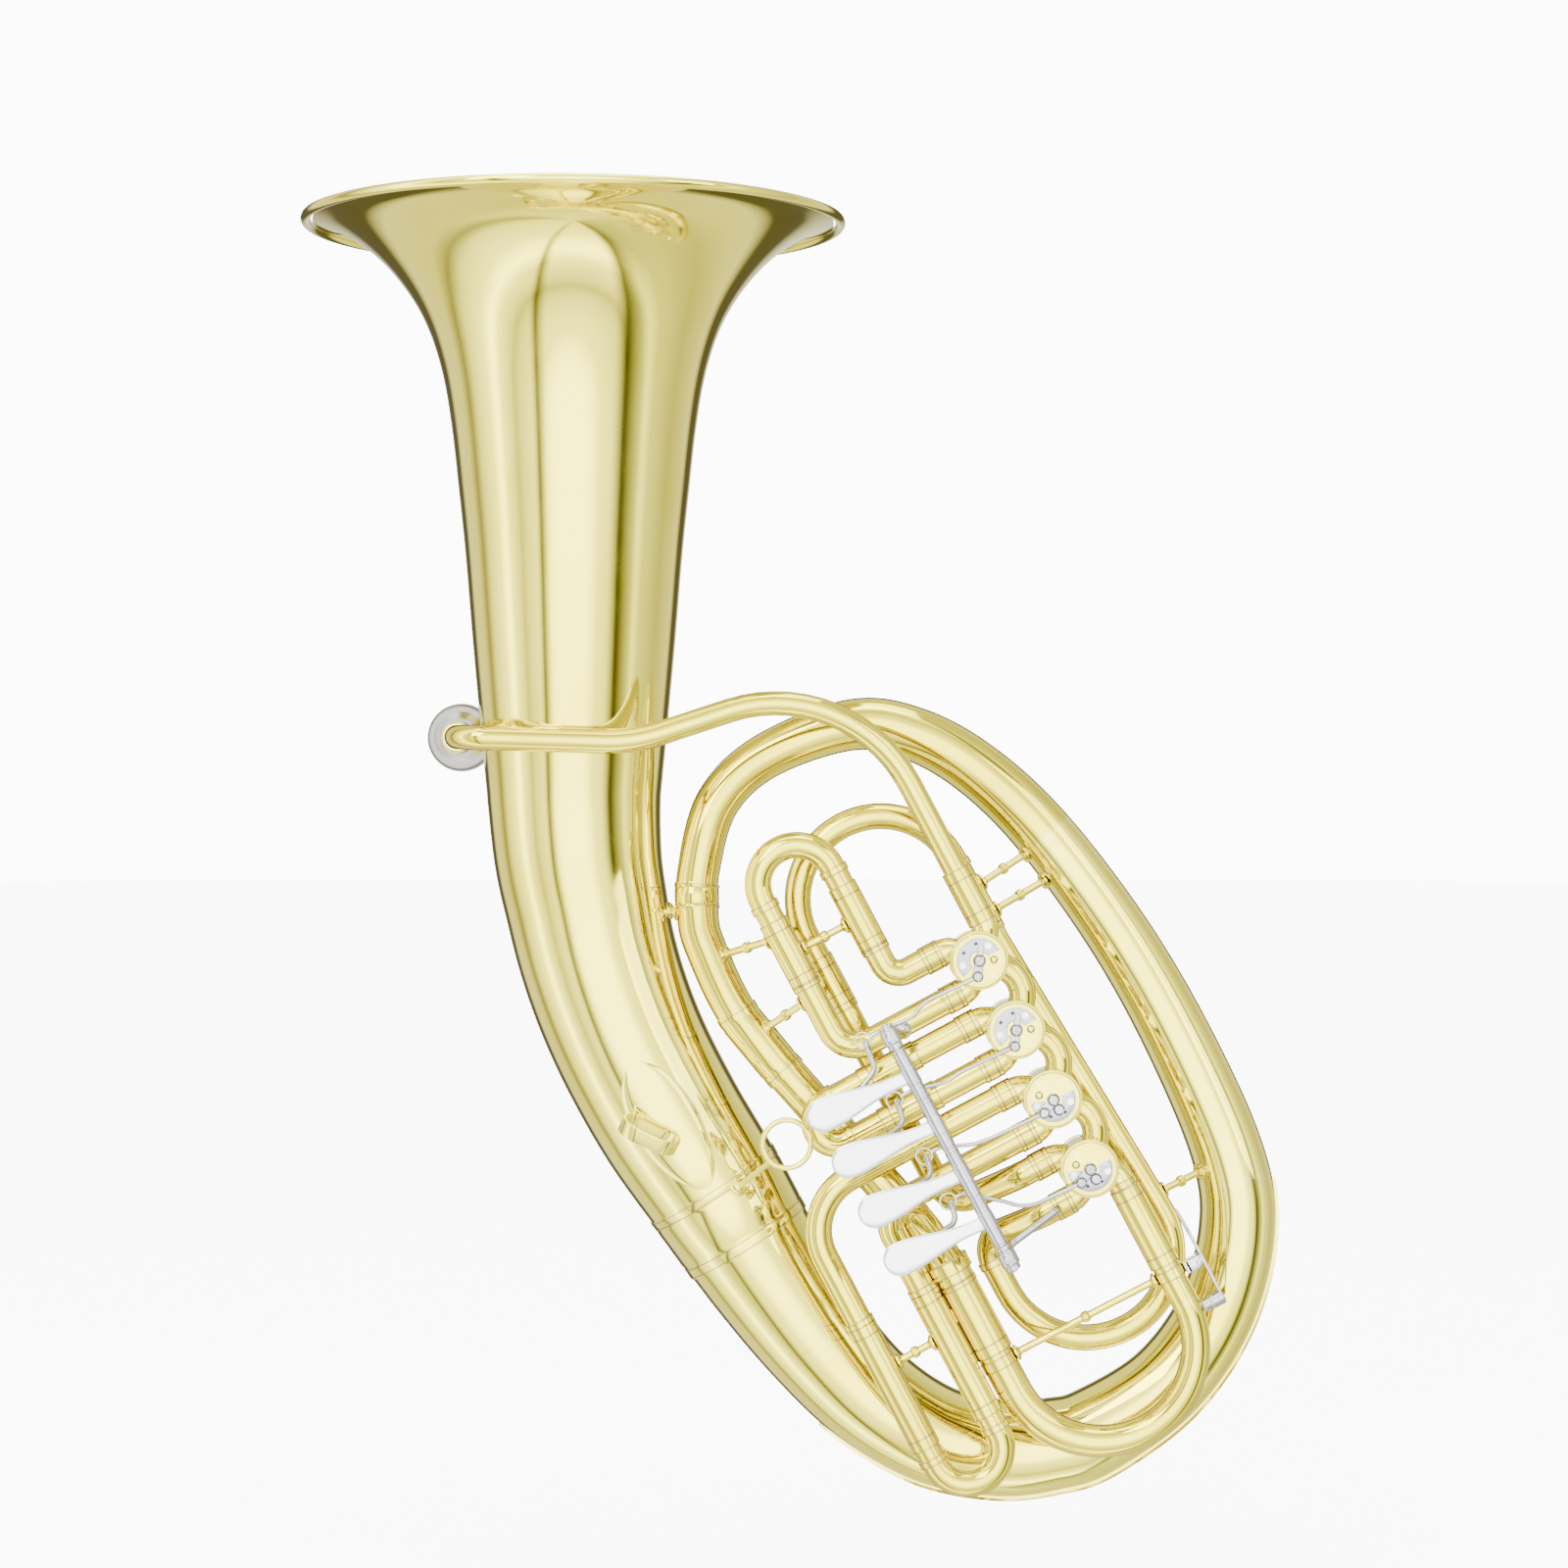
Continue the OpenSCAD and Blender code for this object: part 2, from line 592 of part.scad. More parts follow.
module slide_4_tubes() {
    up_v = row[3] - port_off;
    low_v = row[3] + port_off;
    down_u = 65.1;
    foot_v = 203.4;
    color(brass) valve_frame() {
        stub(up_v);
        stub(low_v);
        run([[stub_end, up_v, 0], [32, up_v, 0], [loop_u[1], up_v, loop_w], [loop_u[1], -9, loop_w]], [14, 14], tube_r,
            tube_bore);
        run([[stub_end, low_v, 0], [32, low_v, 0], [down_u, low_v, loop_w], [down_u, foot_v, loop_w],
            [-25.7, foot_v, loop_w], [loop_u[0], -2, loop_w], [loop_u[0], -9, loop_w]],
            [14, 14, 45, 42.8, 30], tube_r, tube_bore);
        for (u = loop_u) sleeve([u, -10, loop_w], [u, loop_end, loop_w]);
    }
}

module slide_4_crook() {
    color(brass) valve_frame() crook([loop_u[0], -15, loop_w], [loop_u[1], -15, loop_w], [0, -1, 0], 33.3);
}

// ---- Main tuning slide ----
main_right = [-port_off, 0, 0];
main_left = [85.6, 0, -6];
main_top = 133;
main_end = 180;
crook_v = 201;
thin_r = 7;
thick_r = 9;

function at_v(p, v) = [p[0], v, p[2]];

module main_slide_sleeves() {
    color(brass) valve_frame() {
        pipe(at_v(main_right, row[3] + port_end), at_v(main_right, main_top + 6), tube_r, tube_bore);
        sleeve(at_v(main_right, main_top + 3), at_v(main_right, main_end), thin_r + 0.9, thin_r + fit);
        pipe(at_v(main_left, main_top), at_v(main_left, main_end), thick_r + 1, thick_r + fit);
        for (v = [main_top + 6, main_end - 3])
            pipe(at_v(main_left, v), at_v(main_left, v + 3), thick_r + 1.3, thick_r + 0.9);
    }
}

module main_slide_legs() {
    color(brass) valve_frame() {
        pipe(at_v(main_right, 142), at_v(main_right, crook_v), thin_r, thin_r - wall);
        pipe(at_v(main_right, 182), at_v(main_right, 188), thin_r + 1.1, thin_r - 0.3);
        pipe(at_v(main_left, 142), at_v(main_left, crook_v), thick_r, thick_r - wall);
        pipe(at_v(main_left, 182), at_v(main_left, 188), thick_r + 0.7, thick_r - 0.3);
        brace(at_v(main_right, 185), at_v(main_left, 185), thin_r + 0.8, thick_r + 0.4);
    }
}

module main_slide_bow() {
    mid = (main_right + main_left) / 2;
    half = (main_left - main_right) / 2;
    color(brass) valve_frame() sweep([for (k = [0 : 22])
        let (a = 180 * k / 22, r = thin_r + (thick_r - thin_r) * k / 22)
        [at_v(mid, crook_v) - half * cos(a) + [0, norm(half) * sin(a), 0],
            unit(unit(half) * sin(a) + [0, cos(a), 0]), r, r - wall]], 20);
}

// ---- Stays, rings and water key ----
function to_valve(p) =
    let (dx = p[0] - valve_x, dz = p[2] - valve_z)
    [-dx * cos(valve_tilt) - dz * sin(valve_tilt), dx * sin(valve_tilt) - dz * cos(valve_tilt), valve_y - p[1]];

module braces() {
    color(brass) valve_frame() {
        brace(to_valve([70, -15, 281]), [82, -56, 0], 10.5, tube_r + 0.6);
        brace(to_valve([93, -21, 242]), [82, -22, 0], 10.2, tube_r - 0.2);
        brace([82, -46, 0], [43, -46, 0], 7.3, 7.3);
        brace([-13.8, -31, loop_w], to_valve([244.5, 0, 342]), 7.3, 15.6);
        brace([-13.8, -16, loop_w], to_valve([255, 0, 328]), 7.3, 16);
        brace([-22.6, 150, loop_w], to_valve([337.5, 0, 178]), tube_r - 0.2, 18.7);
        brace([slide_3_u[0], 160, 0], [slide_3_u[1], 160, 0], 7.3, 7.3);
        pipe([95.3, 150, -2.6], [95.3, 157, -2.6], 0.65, 0);
        brace([slide_3_u[1], 184, -7.2], [slide_3_u[1], 184, -19.2], 0, 0);
        brace(to_valve([23.1, -49.9, 391.6]), to_valve([19.9, -42.9, 391.6]), 0, 0, 3);
        brace(to_valve([48.2, -5, 305]), to_valve([54.5, -9, 305]), 0, 0, 2.4);
    }
}

module thumb_ring() {
    c = [109.6, -57, 190.7];
    color(brass) seat() {
        translate(c) rotate([90, 0, 0]) rotate_extrude() translate([12, 0]) circle(r = 1.4);
        pipe([84.7, -33.6, 166], c + [-8, 1.4, -9], 1.5, 0);
        along([84.7, -33.4, 166], [10, -13, 12]) cylinder(h = 1.6, r = 4.5);
    }
}

// Places along the bore where the plate of the strap loop begins and ends, and where the loop stands
strap_from = 5.95;
strap_to = 7.9;
strap_at = 6.86;
loop_half = 5.7;
loop_r = 10;
loop_width = 7.8;
loop_wall = 1.3;

module strap_plate() {
    color(brass) seat() bore_plate(strap_from, strap_to, 14, -90, 26, 0.2, 1.1);
}

module stadium(r, half) {
    square([2 * half, 2 * r], center = true);
    for (s = [-1, 1]) translate([s * half, 0]) circle(r = r);
}

// Oval band standing on its plate, leaning a little towards the bow
module strap_loop() {
    lean = 15;
    long_way = unit([0.91, 0, -0.415]);
    outward = unit([-0.415 * sin(lean), -cos(lean), -0.91 * sin(lean)]);
    axis = cross(long_way, outward);
    c = on_bore(strap_at, -80, 0.9) + loop_r * outward;
    color(brass) seat() multmatrix([[long_way[0], outward[0], axis[0], c[0]],
        [long_way[1], outward[1], axis[1], c[1]], [long_way[2], outward[2], axis[2], c[2]]])
        translate([0, 0, -loop_width / 2]) linear_extrude(loop_width) difference() {
            stadium(loop_r, loop_half);
            stadium(loop_r - loop_wall, loop_half);
        }
}

key_v = 180;
key_u = -27;

module water_key_saddle() {
    color(nickel) valve_frame() {
        for (w = [-4.6, 3]) translate([key_u - 2, key_v + 3, w]) cube([8.6, 6, 1.6]);
        translate([key_u + 5, key_v + 3, -4.6]) cube([3, 6, 9.2]);
        translate([key_u, key_v + 6, -5.6]) cylinder(h = 11.2, r = 1);
        translate([-22.6, 207.6, -0.4]) rotate([0, 90, 0]) difference() {
            cylinder(h = 4.6, r = 3.4);
            translate([0, 0, -1]) cylinder(h = 7, r = 2);
        }
    }
}

module water_key() {
    color(nickel) valve_frame() difference() {
        union() {
            translate([key_u, key_v + 6, -2.7]) cylinder(h = 5.4, r = 2.2);
            translate([key_u - 3, 158, -1.6]) cube([2, 52, 3.2]);
            translate([key_u - 2, key_v + 4, -1.6]) cube([3, 4, 3.2]);
            translate([key_u - 2, 158, -3]) cylinder(h = 6, r = 2.4);
            translate([key_u - 3, 207.6, -0.4]) rotate([0, 90, 0]) cylinder(h = 7.35, r = 3.9);
        }
        translate([key_u, key_v + 6, -5]) cylinder(h = 10, r = 1 + fit);
    }
}

bell_flare();
bell_rim();
bell_tail();
bell_ferrule();
bottom_bow();
bow_guard();
side_branch();
top_bow();
left_branch();
branch_ferrules();
leadpipe();
mouthpiece_receiver();
mouthpiece();
valve_casing(0);  // valve_casing_1
valve_casing(1);  // valve_casing_2
valve_casing(2);  // valve_casing_3
valve_casing(3);  // valve_casing_4
rotor(0);  // rotor_1
rotor(1);  // rotor_2
rotor(2);  // rotor_3
rotor(3);  // rotor_4
bearing_plate(0);  // bearing_plate_1
bearing_plate(1);  // bearing_plate_2
bearing_plate(2);  // bearing_plate_3
bearing_plate(3);  // bearing_plate_4
stop_arm(0);  // stop_arm_1
stop_arm(1);  // stop_arm_2
stop_arm(2);  // stop_arm_3
stop_arm(3);  // stop_arm_4
link_rod(0);  // link_rod_1
link_rod(1);  // link_rod_2
link_rod(2);  // link_rod_3
link_rod(3);  // link_rod_4
lever(0);  // lever_1
lever(1);  // lever_2
lever(2);  // lever_3
lever(3);  // lever_4
rear_caps();
stop_plates();
stop_corks();
valve_knuckles();
slide_1_tubes();
slide_1_crook();
slide_2_tubes();
slide_2_crook();
slide_3_tubes();
slide_3_crook();
slide_4_tubes();
slide_4_crook();
main_slide_sleeves();
main_slide_legs();
main_slide_bow();
lever_shaft();
lever_posts();
braces();
thumb_ring();
strap_plate();
strap_loop();
water_key();
water_key_saddle();
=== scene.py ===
import json
import math

import bpy
import bmesh
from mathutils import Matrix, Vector

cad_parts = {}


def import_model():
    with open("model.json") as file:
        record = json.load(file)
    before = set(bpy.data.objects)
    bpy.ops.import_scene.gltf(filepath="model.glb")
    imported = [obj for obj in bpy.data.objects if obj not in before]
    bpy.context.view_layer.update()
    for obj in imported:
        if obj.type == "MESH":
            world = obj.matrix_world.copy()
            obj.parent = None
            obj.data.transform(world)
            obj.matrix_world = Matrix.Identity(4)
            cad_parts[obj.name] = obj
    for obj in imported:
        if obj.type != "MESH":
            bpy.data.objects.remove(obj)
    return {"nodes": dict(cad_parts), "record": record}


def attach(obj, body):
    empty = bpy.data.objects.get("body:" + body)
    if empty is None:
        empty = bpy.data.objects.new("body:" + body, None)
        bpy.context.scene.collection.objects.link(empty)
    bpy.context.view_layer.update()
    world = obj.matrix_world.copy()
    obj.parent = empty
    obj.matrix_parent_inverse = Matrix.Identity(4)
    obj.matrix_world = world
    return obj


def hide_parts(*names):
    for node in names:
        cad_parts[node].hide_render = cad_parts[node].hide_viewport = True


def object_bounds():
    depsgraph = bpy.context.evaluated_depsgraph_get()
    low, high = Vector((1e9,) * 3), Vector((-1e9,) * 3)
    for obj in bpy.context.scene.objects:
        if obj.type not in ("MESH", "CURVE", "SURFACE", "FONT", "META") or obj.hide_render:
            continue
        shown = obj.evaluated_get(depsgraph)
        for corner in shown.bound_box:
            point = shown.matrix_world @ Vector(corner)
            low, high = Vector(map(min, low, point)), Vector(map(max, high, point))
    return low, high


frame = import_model()
cad_low, cad_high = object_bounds()

# ---- Sizes, in millimetres unless a name says otherwise ----
MM = 0.001
HORN_H = 661.5
BELL_R = 140
WALL = 0.8
BEAD_R = 2.6
FERRULE_T = 0.6
TILT = math.radians(28)
DIAGONAL = math.radians(45)
VALVE = Vector((205.5, -44, 282.5))
PITCH = 39.2
ROW = [i * PITCH for i in range(4)]
CASING_LOW, CASING_HIGH = -12.6, 14.4
PLATE_TOP = CASING_HIGH + 3.5
TUBE_R, TUBE_BORE = 6.75, 6.2
TUBE_WALL = TUBE_R - TUBE_BORE
SLEEVE_R = 7.5
LEAD_R = 6.2
PORT_START, PORT_BEND = 12.2, 9
PORT_OFF = PORT_START * math.sin(DIAGONAL) + PORT_BEND * (1 - math.cos(DIAGONAL))
PORT_END = (PORT_START + PORT_BEND) * math.cos(DIAGONAL)

# Turned grooves lie this far from the ends of short and long sleeves; half the width of a dark line (solder
# joint, painted groove shade)
GROOVE_SHORT, GROOVE_LONG, DARK_LINE_HALF = 2.2, 5.5, 0.26
# Long flat stretches of a profile, and straight legs between bends, get extra points near their ends
LONG_STRETCH, NEAR_END = 1.2, 0.25
LONG_LEG, NEAR_BEND, BEND_STEP = 24, 0.6, 6

# Middle line and outer radius of the main bore: x, y, z, radius
BORE = [(0, 0, 401, 48.3), (0, 0, 366, 45), (2, 0, 334, 43.3), (6.3, 0, 309, 42), (12, 0, 283, 41),
        (20.8, 0, 256, 40.2), (33, 0, 228, 39.4), (50.5, 0, 196, 38.6), (72, 0, 163, 36.8),
        (98, 0, 122, 33.2), (124, 0, 86, 29.8), (152, 0, 56, 27.4), (185, 0, 35, 26.2), (219, 0, 27.6, 25.4),
        (246, 0, 29.5, 24.4), (268, 0, 36, 23.5), (305, 0, 61, 21.6), (331, 0, 98, 20.6), (342, 0, 141, 20),
        (337, 0, 180, 18.9), (313, 0, 236, 17.8), (282, 0, 291, 16.8), (243, 0, 344, 15.8),
        (209, 0, 377, 14.8), (176, 0, 396, 14.2), (143, 0, 401, 13.4), (99, -1, 385, 12),
        (74, -4, 361, 11.5), (64.5, -8, 327, 11), (64, -11, 304, 10.8), (68, -14, 287, 10.7),
        (86, -20, 251, 10.5), (121, -23, 210, 10.2), (156, -25, 170, 10), (177, -31, 146, 9.9),
        (192.3, -38, 125, 9.9)]

# Outline of the flare: radius, and depth under the rim
FLARE = [(45, 295.5), (48.3, 260.5), (52.4, 215.5), (56, 172), (59.5, 138.5), (62.4, 112), (66.2, 87),
         (71, 68), (77, 52.5), (84.5, 39.5), (93.5, 27.8), (103, 18.2), (113, 10.6), (123, 5.4), (134, 2.4)]
# Stations along BORE where one piece of the bore ends and the next begins
BELL_END, BOW_END, SIDE_END, TOP_END, LEFT_END = 8.33, 18.7, 22, 28.6, 35

# ---- Frames ----
def seat(p):
    """From the drawing, whose floor is under the bow, to the row frame in metres."""
    return Vector((p[0], p[1], p[2] - HORN_H)) * MM


U_AXIS = Vector((-math.cos(TILT), 0, -math.sin(TILT)))
V_AXIS = Vector((math.sin(TILT), 0, -math.cos(TILT)))
W_AXIS = Vector((0, -1, 0))


def valve_dir(p):
    return U_AXIS * p[0] + V_AXIS * p[1] + W_AXIS * p[2]


def valve(p):
    """From the frame of the valves (u, v, w) to the row frame in metres."""
    return seat(VALVE + valve_dir(p))


def to_valve(p):
    """From the drawing to the frame of the valves."""
    d = Vector(p) - VALVE
    return Vector((d.dot(U_AXIS), d.dot(V_AXIS), d.dot(W_AXIS)))


def straight(v):
    """Directions in the drawing and in the row frame are the same."""
    return v


def round_angles(sides):
    return [2 * math.pi * i / sides for i in range(sides)]


def spline(points, t):
    """Smooth curve through points; t counts them."""
    i = min(int(t), len(points) - 2)
    f = t - i
    a, b, c, d = (Vector(points[max(0, min(len(points) - 1, i + k))]) for k in (-1, 0, 1, 2))
    return 0.5 * (2 * b + (c - a) * f + (2 * a - 5 * b + 4 * c - d) * f * f
                  + (3 * b - a - 3 * c + d) * f ** 3)


def bore(t):
    """Middle and radius of the main bore at station t."""
    q = spline(BORE, t)
    return Vector(q[:3]), q[3]


def bore_dir(t):
    return (bore(min(t + 0.02, len(BORE) - 1))[0] - bore(max(t - 0.02, 0))[0]).normalized()


def on_bore(t, angle, lift):
    """Place on the surface of the bore: angle 0 is the outside of the bends, -90 the front."""
    place, r = bore(t)
    d = bore_dir(t)
    e = Vector((0, 1, 0)).cross(d).normalized()
    a = math.radians(angle)
    return place + (r + lift) * (math.cos(a) * e + math.sin(a) * d.cross(e))


# ---- Shapes ----
def supported(profile, close):
    """Adds points near the ends of a profile's long stretches, which keeps the shading flat between."""
    out = []
    count = len(profile)
    for k in range(count if close else count - 1):
        a, b = Vector(profile[k]), Vector(profile[(k + 1) % count])
        out.append(tuple(a))
        length = (b - a).length
        if length > LONG_STRETCH:
            out += [tuple(a.lerp(b, NEAR_END / length)), tuple(b.lerp(a, NEAR_END / length))]
    return out if close else out + [tuple(profile[-1])]


def other_end(half, length):
    """The second half of a profile that is the same from both ends."""
    return [(r, length - h) for r, h in reversed(half)]


class Shape:
    """Vertices and faces of one piece, and which of its faces are dark."""

    def __init__(self):
        self.verts = []
        self.faces = []
        self.dark = []

    def loft(self, rings, close=False, caps=(False, False)):
        """Skin over rings of points; close joins the last ring to the first."""
        n = len(rings[0])
        base = len(self.verts)
        for ring in rings:
            self.verts += ring
        count = len(rings)
        for j in range(count if close else count - 1):
            a, b = base + j * n, base + (j + 1) % count * n
            for i in range(n):
                k = (i + 1) % n
                self.faces.append((a + i, b + i, b + k, a + k))
        if caps[0]:
            self.faces.append(tuple(base + i for i in range(n)))
        if caps[1]:
            self.faces.append(tuple(base + (count - 1) * n + i for i in reversed(range(n))))
        return self

    def lathe(self, profile, base, axis, sides=64, close=True):
        """Turns a profile of (radius, height) in mm round an axis; a radius of 0 closes the surface."""
        axis = axis.normalized()
        e = axis.orthogonal().normalized()
        f = axis.cross(e)
        rings = []
        for r, h in supported(profile, close):
            centre = base + axis * h * MM
            rings.append([centre + max(r, 0.001) * MM * (math.cos(a) * e + math.sin(a) * f)
                          for a in round_angles(sides)])
        return self.loft(rings, close)

    def tube(self, places, dirs, outer, inner, sides=48):
        """Tube or, where inner is None, rod along places in metres with radii in mm."""
        e = dirs[0].orthogonal().normalized()
        out, lining = [], []
        for k, (p, d) in enumerate(zip(places, dirs)):
            e = (e - d * e.dot(d)).normalized()
            f = d.cross(e)
            turn = [math.cos(a) * e + math.sin(a) * f for a in round_angles(sides)]
            out.append([p + outer[k] * MM * s for s in turn])
            if inner:
                lining.append([p + inner[k] * MM * s for s in turn])
        if inner:
            return self.loft(out + lining[::-1], True)
        return self.loft(out, False, (True, True))

    def darken(self, first):
        """Makes the faces from the first one on dark."""
        self.dark += range(first, len(self.faces))

    def seam(self, base, axis, r, h):
        """Dark line round a tube, at height h in mm along the axis: a solder joint at an end, painted shade
        in a groove.
        """
        first = len(self.faces)
        low, high, out = h - DARK_LINE_HALF, h + DARK_LINE_HALF, r + 0.04
        self.lathe([(r - 0.2, low), (out, low), (out, high), (r - 0.2, high)], base, axis, 48)
        self.darken(first)


def route(points, bends):
    """Places and directions along straight lines joined by bends, in millimetres."""
    points = [Vector(p) for p in points]
    dirs = [(b - a).normalized() for a, b in zip(points, points[1:])]
    track = [(points[0], dirs[0])]
    for p, d1, d2, r in zip(points[1:], dirs, dirs[1:], bends):
        turn = d1.angle(d2)
        side = (d2 - d1 * d1.dot(d2)).normalized()
        centre = p - d1 * r * math.tan(turn / 2) + side * r
        steps = max(3, math.ceil(math.degrees(turn) / BEND_STEP))
        for k in range(steps + 1):
            a = turn * k / steps
            track.append((centre - side * r * math.cos(a) + d1 * r * math.sin(a),
                          d1 * math.cos(a) + side * math.sin(a)))
    track.append((points[-1], dirs[-1]))
    out = []
    for (p, way), (q, _) in zip(track, track[1:]):
        out.append((p, way))
        if (q - p).length > LONG_LEG:
            leg = (q - p).normalized()
            out += [(p + leg * NEAR_BEND, leg), (q - leg * NEAR_BEND, leg)]
    out.append(track[-1])
    return [p for p, way in out], [way for p, way in out]


def pipe(shape, place, points, bends, outer, inner=None, sides=40, direction=valve_dir):
    """Bent tube through points given in the frame of place."""
    places, ways = route(points, bends)
    n = len(places)
    shape.tube([place(p) for p in places], [direction(d).normalized() for d in ways], [outer] * n,
               [inner] * n if inner else None, sides)
    return shape


def band(shape, place, start, end, r, inner, direction=valve_dir):
    """Straight sleeve with a turned groove near each end, dark solder lines at its ends and painted shade in
    the grooves.
    """
    a, b = Vector(start), Vector(end)
    length = (b - a).length
    groove = GROOVE_LONG if length > 3 * GROOVE_LONG else GROOVE_SHORT
    half = [(inner, 0), (r - 0.25, 0), (r, 0.25), (r, groove), (r - 0.3, groove + 0.15),
            (r - 0.3, groove + 0.55), (r, groove + 0.7)]
    shape.lathe(half + other_end(half, length), place(a), direction(b - a), 48)
    for h in (0.45, length - 0.45):
        shape.seam(place(a), direction(b - a), r, h)
    # The second pair of dark rings lies in the turned grooves: painted shade
    for h in (groove + 0.35, length - groove - 0.35):
        shape.seam(place(a), direction(b - a), r - 0.15, h)


def ferrule(shape, start, way, length, r, inner):
    """Short ferrule in the valve frame, with rounded edges and a dark line at each end."""
    base, axis = valve(Vector(start)), valve_dir(Vector(way))
    half = [(inner, 0), (r - 0.3, 0), (r - 0.08, 0.12), (r, 0.35)]
    shape.lathe(half + other_end(half, length), base, axis, 48)
    for h in (0.5, length - 0.5):
        shape.seam(base, axis, r, h)


def bore_stations(ts, grow, thick):
    """Places, directions, outer and inner radii of a layer round the main bore."""
    outer = [bore(t)[1] + grow for t in ts]
    return [seat(bore(t)[0]) for t in ts], [bore_dir(t) for t in ts], outer, [r - thick for r in outer]


def bore_piece(start, end, count, sides=64):
    ts = [start + (end - start) * k / count for k in range(count + 1)]
    return Shape().tube(*bore_stations(ts, 0, WALL), sides)


def bore_ferrule(shape, start, end, edge, ridge, sides, dark_rings):
    """Ferrule on the main bore: a raised ridge near each end, a groove beside it, and dark lines at the
    stations given, which are solder joints at the ends and painted shade beside the grooves.
    """
    marks = [(0, -0.8), (0, ridge * 0.6), (0.02, ridge), (edge - 0.03, ridge), (edge, 0),
             (edge + 0.05, -0.25), (edge + 0.08, 0)]
    marks = marks + [(1 - m, g) for m, g in reversed(marks)]
    places, dirs, outer, inner = [], [], [], []
    for m, g in marks:
        t = start + (end - start) * m
        middle, r = bore(t)
        places.append(seat(middle))
        dirs.append(bore_dir(t))
        outer.append(r + FERRULE_T + g)
        inner.append(r - 0.05)
    shape.tube(places, dirs, outer, inner, sides)
    first = len(shape.faces)
    for t in dark_rings:
        step = 2 * DARK_LINE_HALF / ((bore(t + 0.01)[0] - bore(t)[0]).length / 0.01)
        shape.tube(*bore_stations([t, t + step], FERRULE_T + ridge + 0.05, 0.3), sides)
    shape.darken(first)


def leaf_plate(span, steps, arcs, middle, spread, least, tip, under, height):
    """Plate on the surface of the bore, round at both ends; height gives its top, across and along."""
    start, end = span
    rings = []
    for k in range(steps + 1):
        share = k / steps
        t = start + (end - start) * share
        reach = max(least, spread * math.sin(math.pi * min(max(share, tip), 1 - tip)) ** 0.5)
        angles = [middle - reach + 2 * reach * j / arcs for j in range(arcs + 1)]
        low = [seat(on_bore(t, a, under)) for a in angles]
        high = [seat(on_bore(t, a, height(j / arcs, share))) for j, a in enumerate(angles)]
        rings.append(low + high[::-1])
    return Shape().loft(rings, False, (True, True))


def stay(shape, a, b, r=1.9):
    """Rod in the valve frame, with a turned bead in the middle and a round foot at each end."""
    n = (b - a).length
    m = n / 2
    foot = r + 2.4
    half = [(0, 0), (foot - 0.4, 0), (foot, 0.4), (foot, 1.1), (foot - 0.8, 1.6), (r + 0.7, 2.1), (r, 2.9)]
    if n >= 14:
        half += [(r, m - 2.2), (r + 0.9, m - 1.4), (r + 1.1, m)]
    return shape.lathe(half + other_end(half, n), valve(a), valve_dir(b - a), 32, False)


def make(name, shape, body, nodes, material, sharp=38):
    """Turns a shape into a smooth-shaded piece that rides on a body and stands for CAD nodes."""
    mesh = bpy.data.meshes.new(name)
    mesh.from_pydata([tuple(v) for v in shape.verts], [], shape.faces)
    bm = bmesh.new()
    bm.from_mesh(mesh)
    bm.faces.ensure_lookup_table()
    for i in shape.dark:
        bm.faces[i].material_index = 1
    bmesh.ops.remove_doubles(bm, verts=bm.verts, dist=0.000002)
    bmesh.ops.dissolve_degenerate(bm, edges=bm.edges, dist=0.000001)
    bmesh.ops.recalc_face_normals(bm, faces=bm.faces)
    limit = math.radians(sharp)
    for face in bm.faces:
        face.smooth = True
    for edge in bm.edges:
        edge.smooth = len(edge.link_faces) != 2 or edge.calc_face_angle(0) < limit
    bm.to_mesh(mesh)
    bm.free()
    obj = bpy.data.objects.new(name, mesh)
    bpy.context.scene.collection.objects.link(obj)
    mesh.materials.append(material)
    if shape.dark:
        mesh.materials.append(LINES_AND_GROOVE_SHADE)
    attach(obj, body)
    if nodes:
        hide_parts(*nodes)
    return obj


# ---- Materials ----
def feed(tree, node, inputs):
    """Gives each named input a value, or joins it to another node's output."""
    for name, value in inputs.items():
        if isinstance(value, bpy.types.NodeSocket):
            tree.links.new(value, node.inputs[name])
        else:
            node.inputs[name].default_value = value


def add(tree, kind, inputs=None, **settings):
    """Adds a shader node with its settings and inputs."""
    node = tree.nodes.new("ShaderNode" + kind)
    for name, value in settings.items():
        setattr(node, name, value)
    feed(tree, node, inputs or {})
    return node


def ramp(tree, value, stops):
    """Colours along a value from 0 to 1."""
    node = add(tree, "ValToRGB", {"Fac": value})
    marks = node.color_ramp.elements
    marks[0].position, marks[0].color = stops[0][0], (*stops[0][1], 1)
    marks[1].position, marks[1].color = stops[-1][0], (*stops[-1][1], 1)
    for place, colour in stops[1:-1]:
        marks.new(place).color = (*colour, 1)
    return node.outputs["Color"]


def noise(tree, place, scale, detail):
    return add(tree, "TexNoise", {"Vector": place, "Scale": scale, "Detail": detail}).outputs["Fac"]


def new_material(name):
    mat = bpy.data.materials.new(name)
    mat.use_nodes = True
    return mat, mat.node_tree, mat.node_tree.nodes["Principled BSDF"]


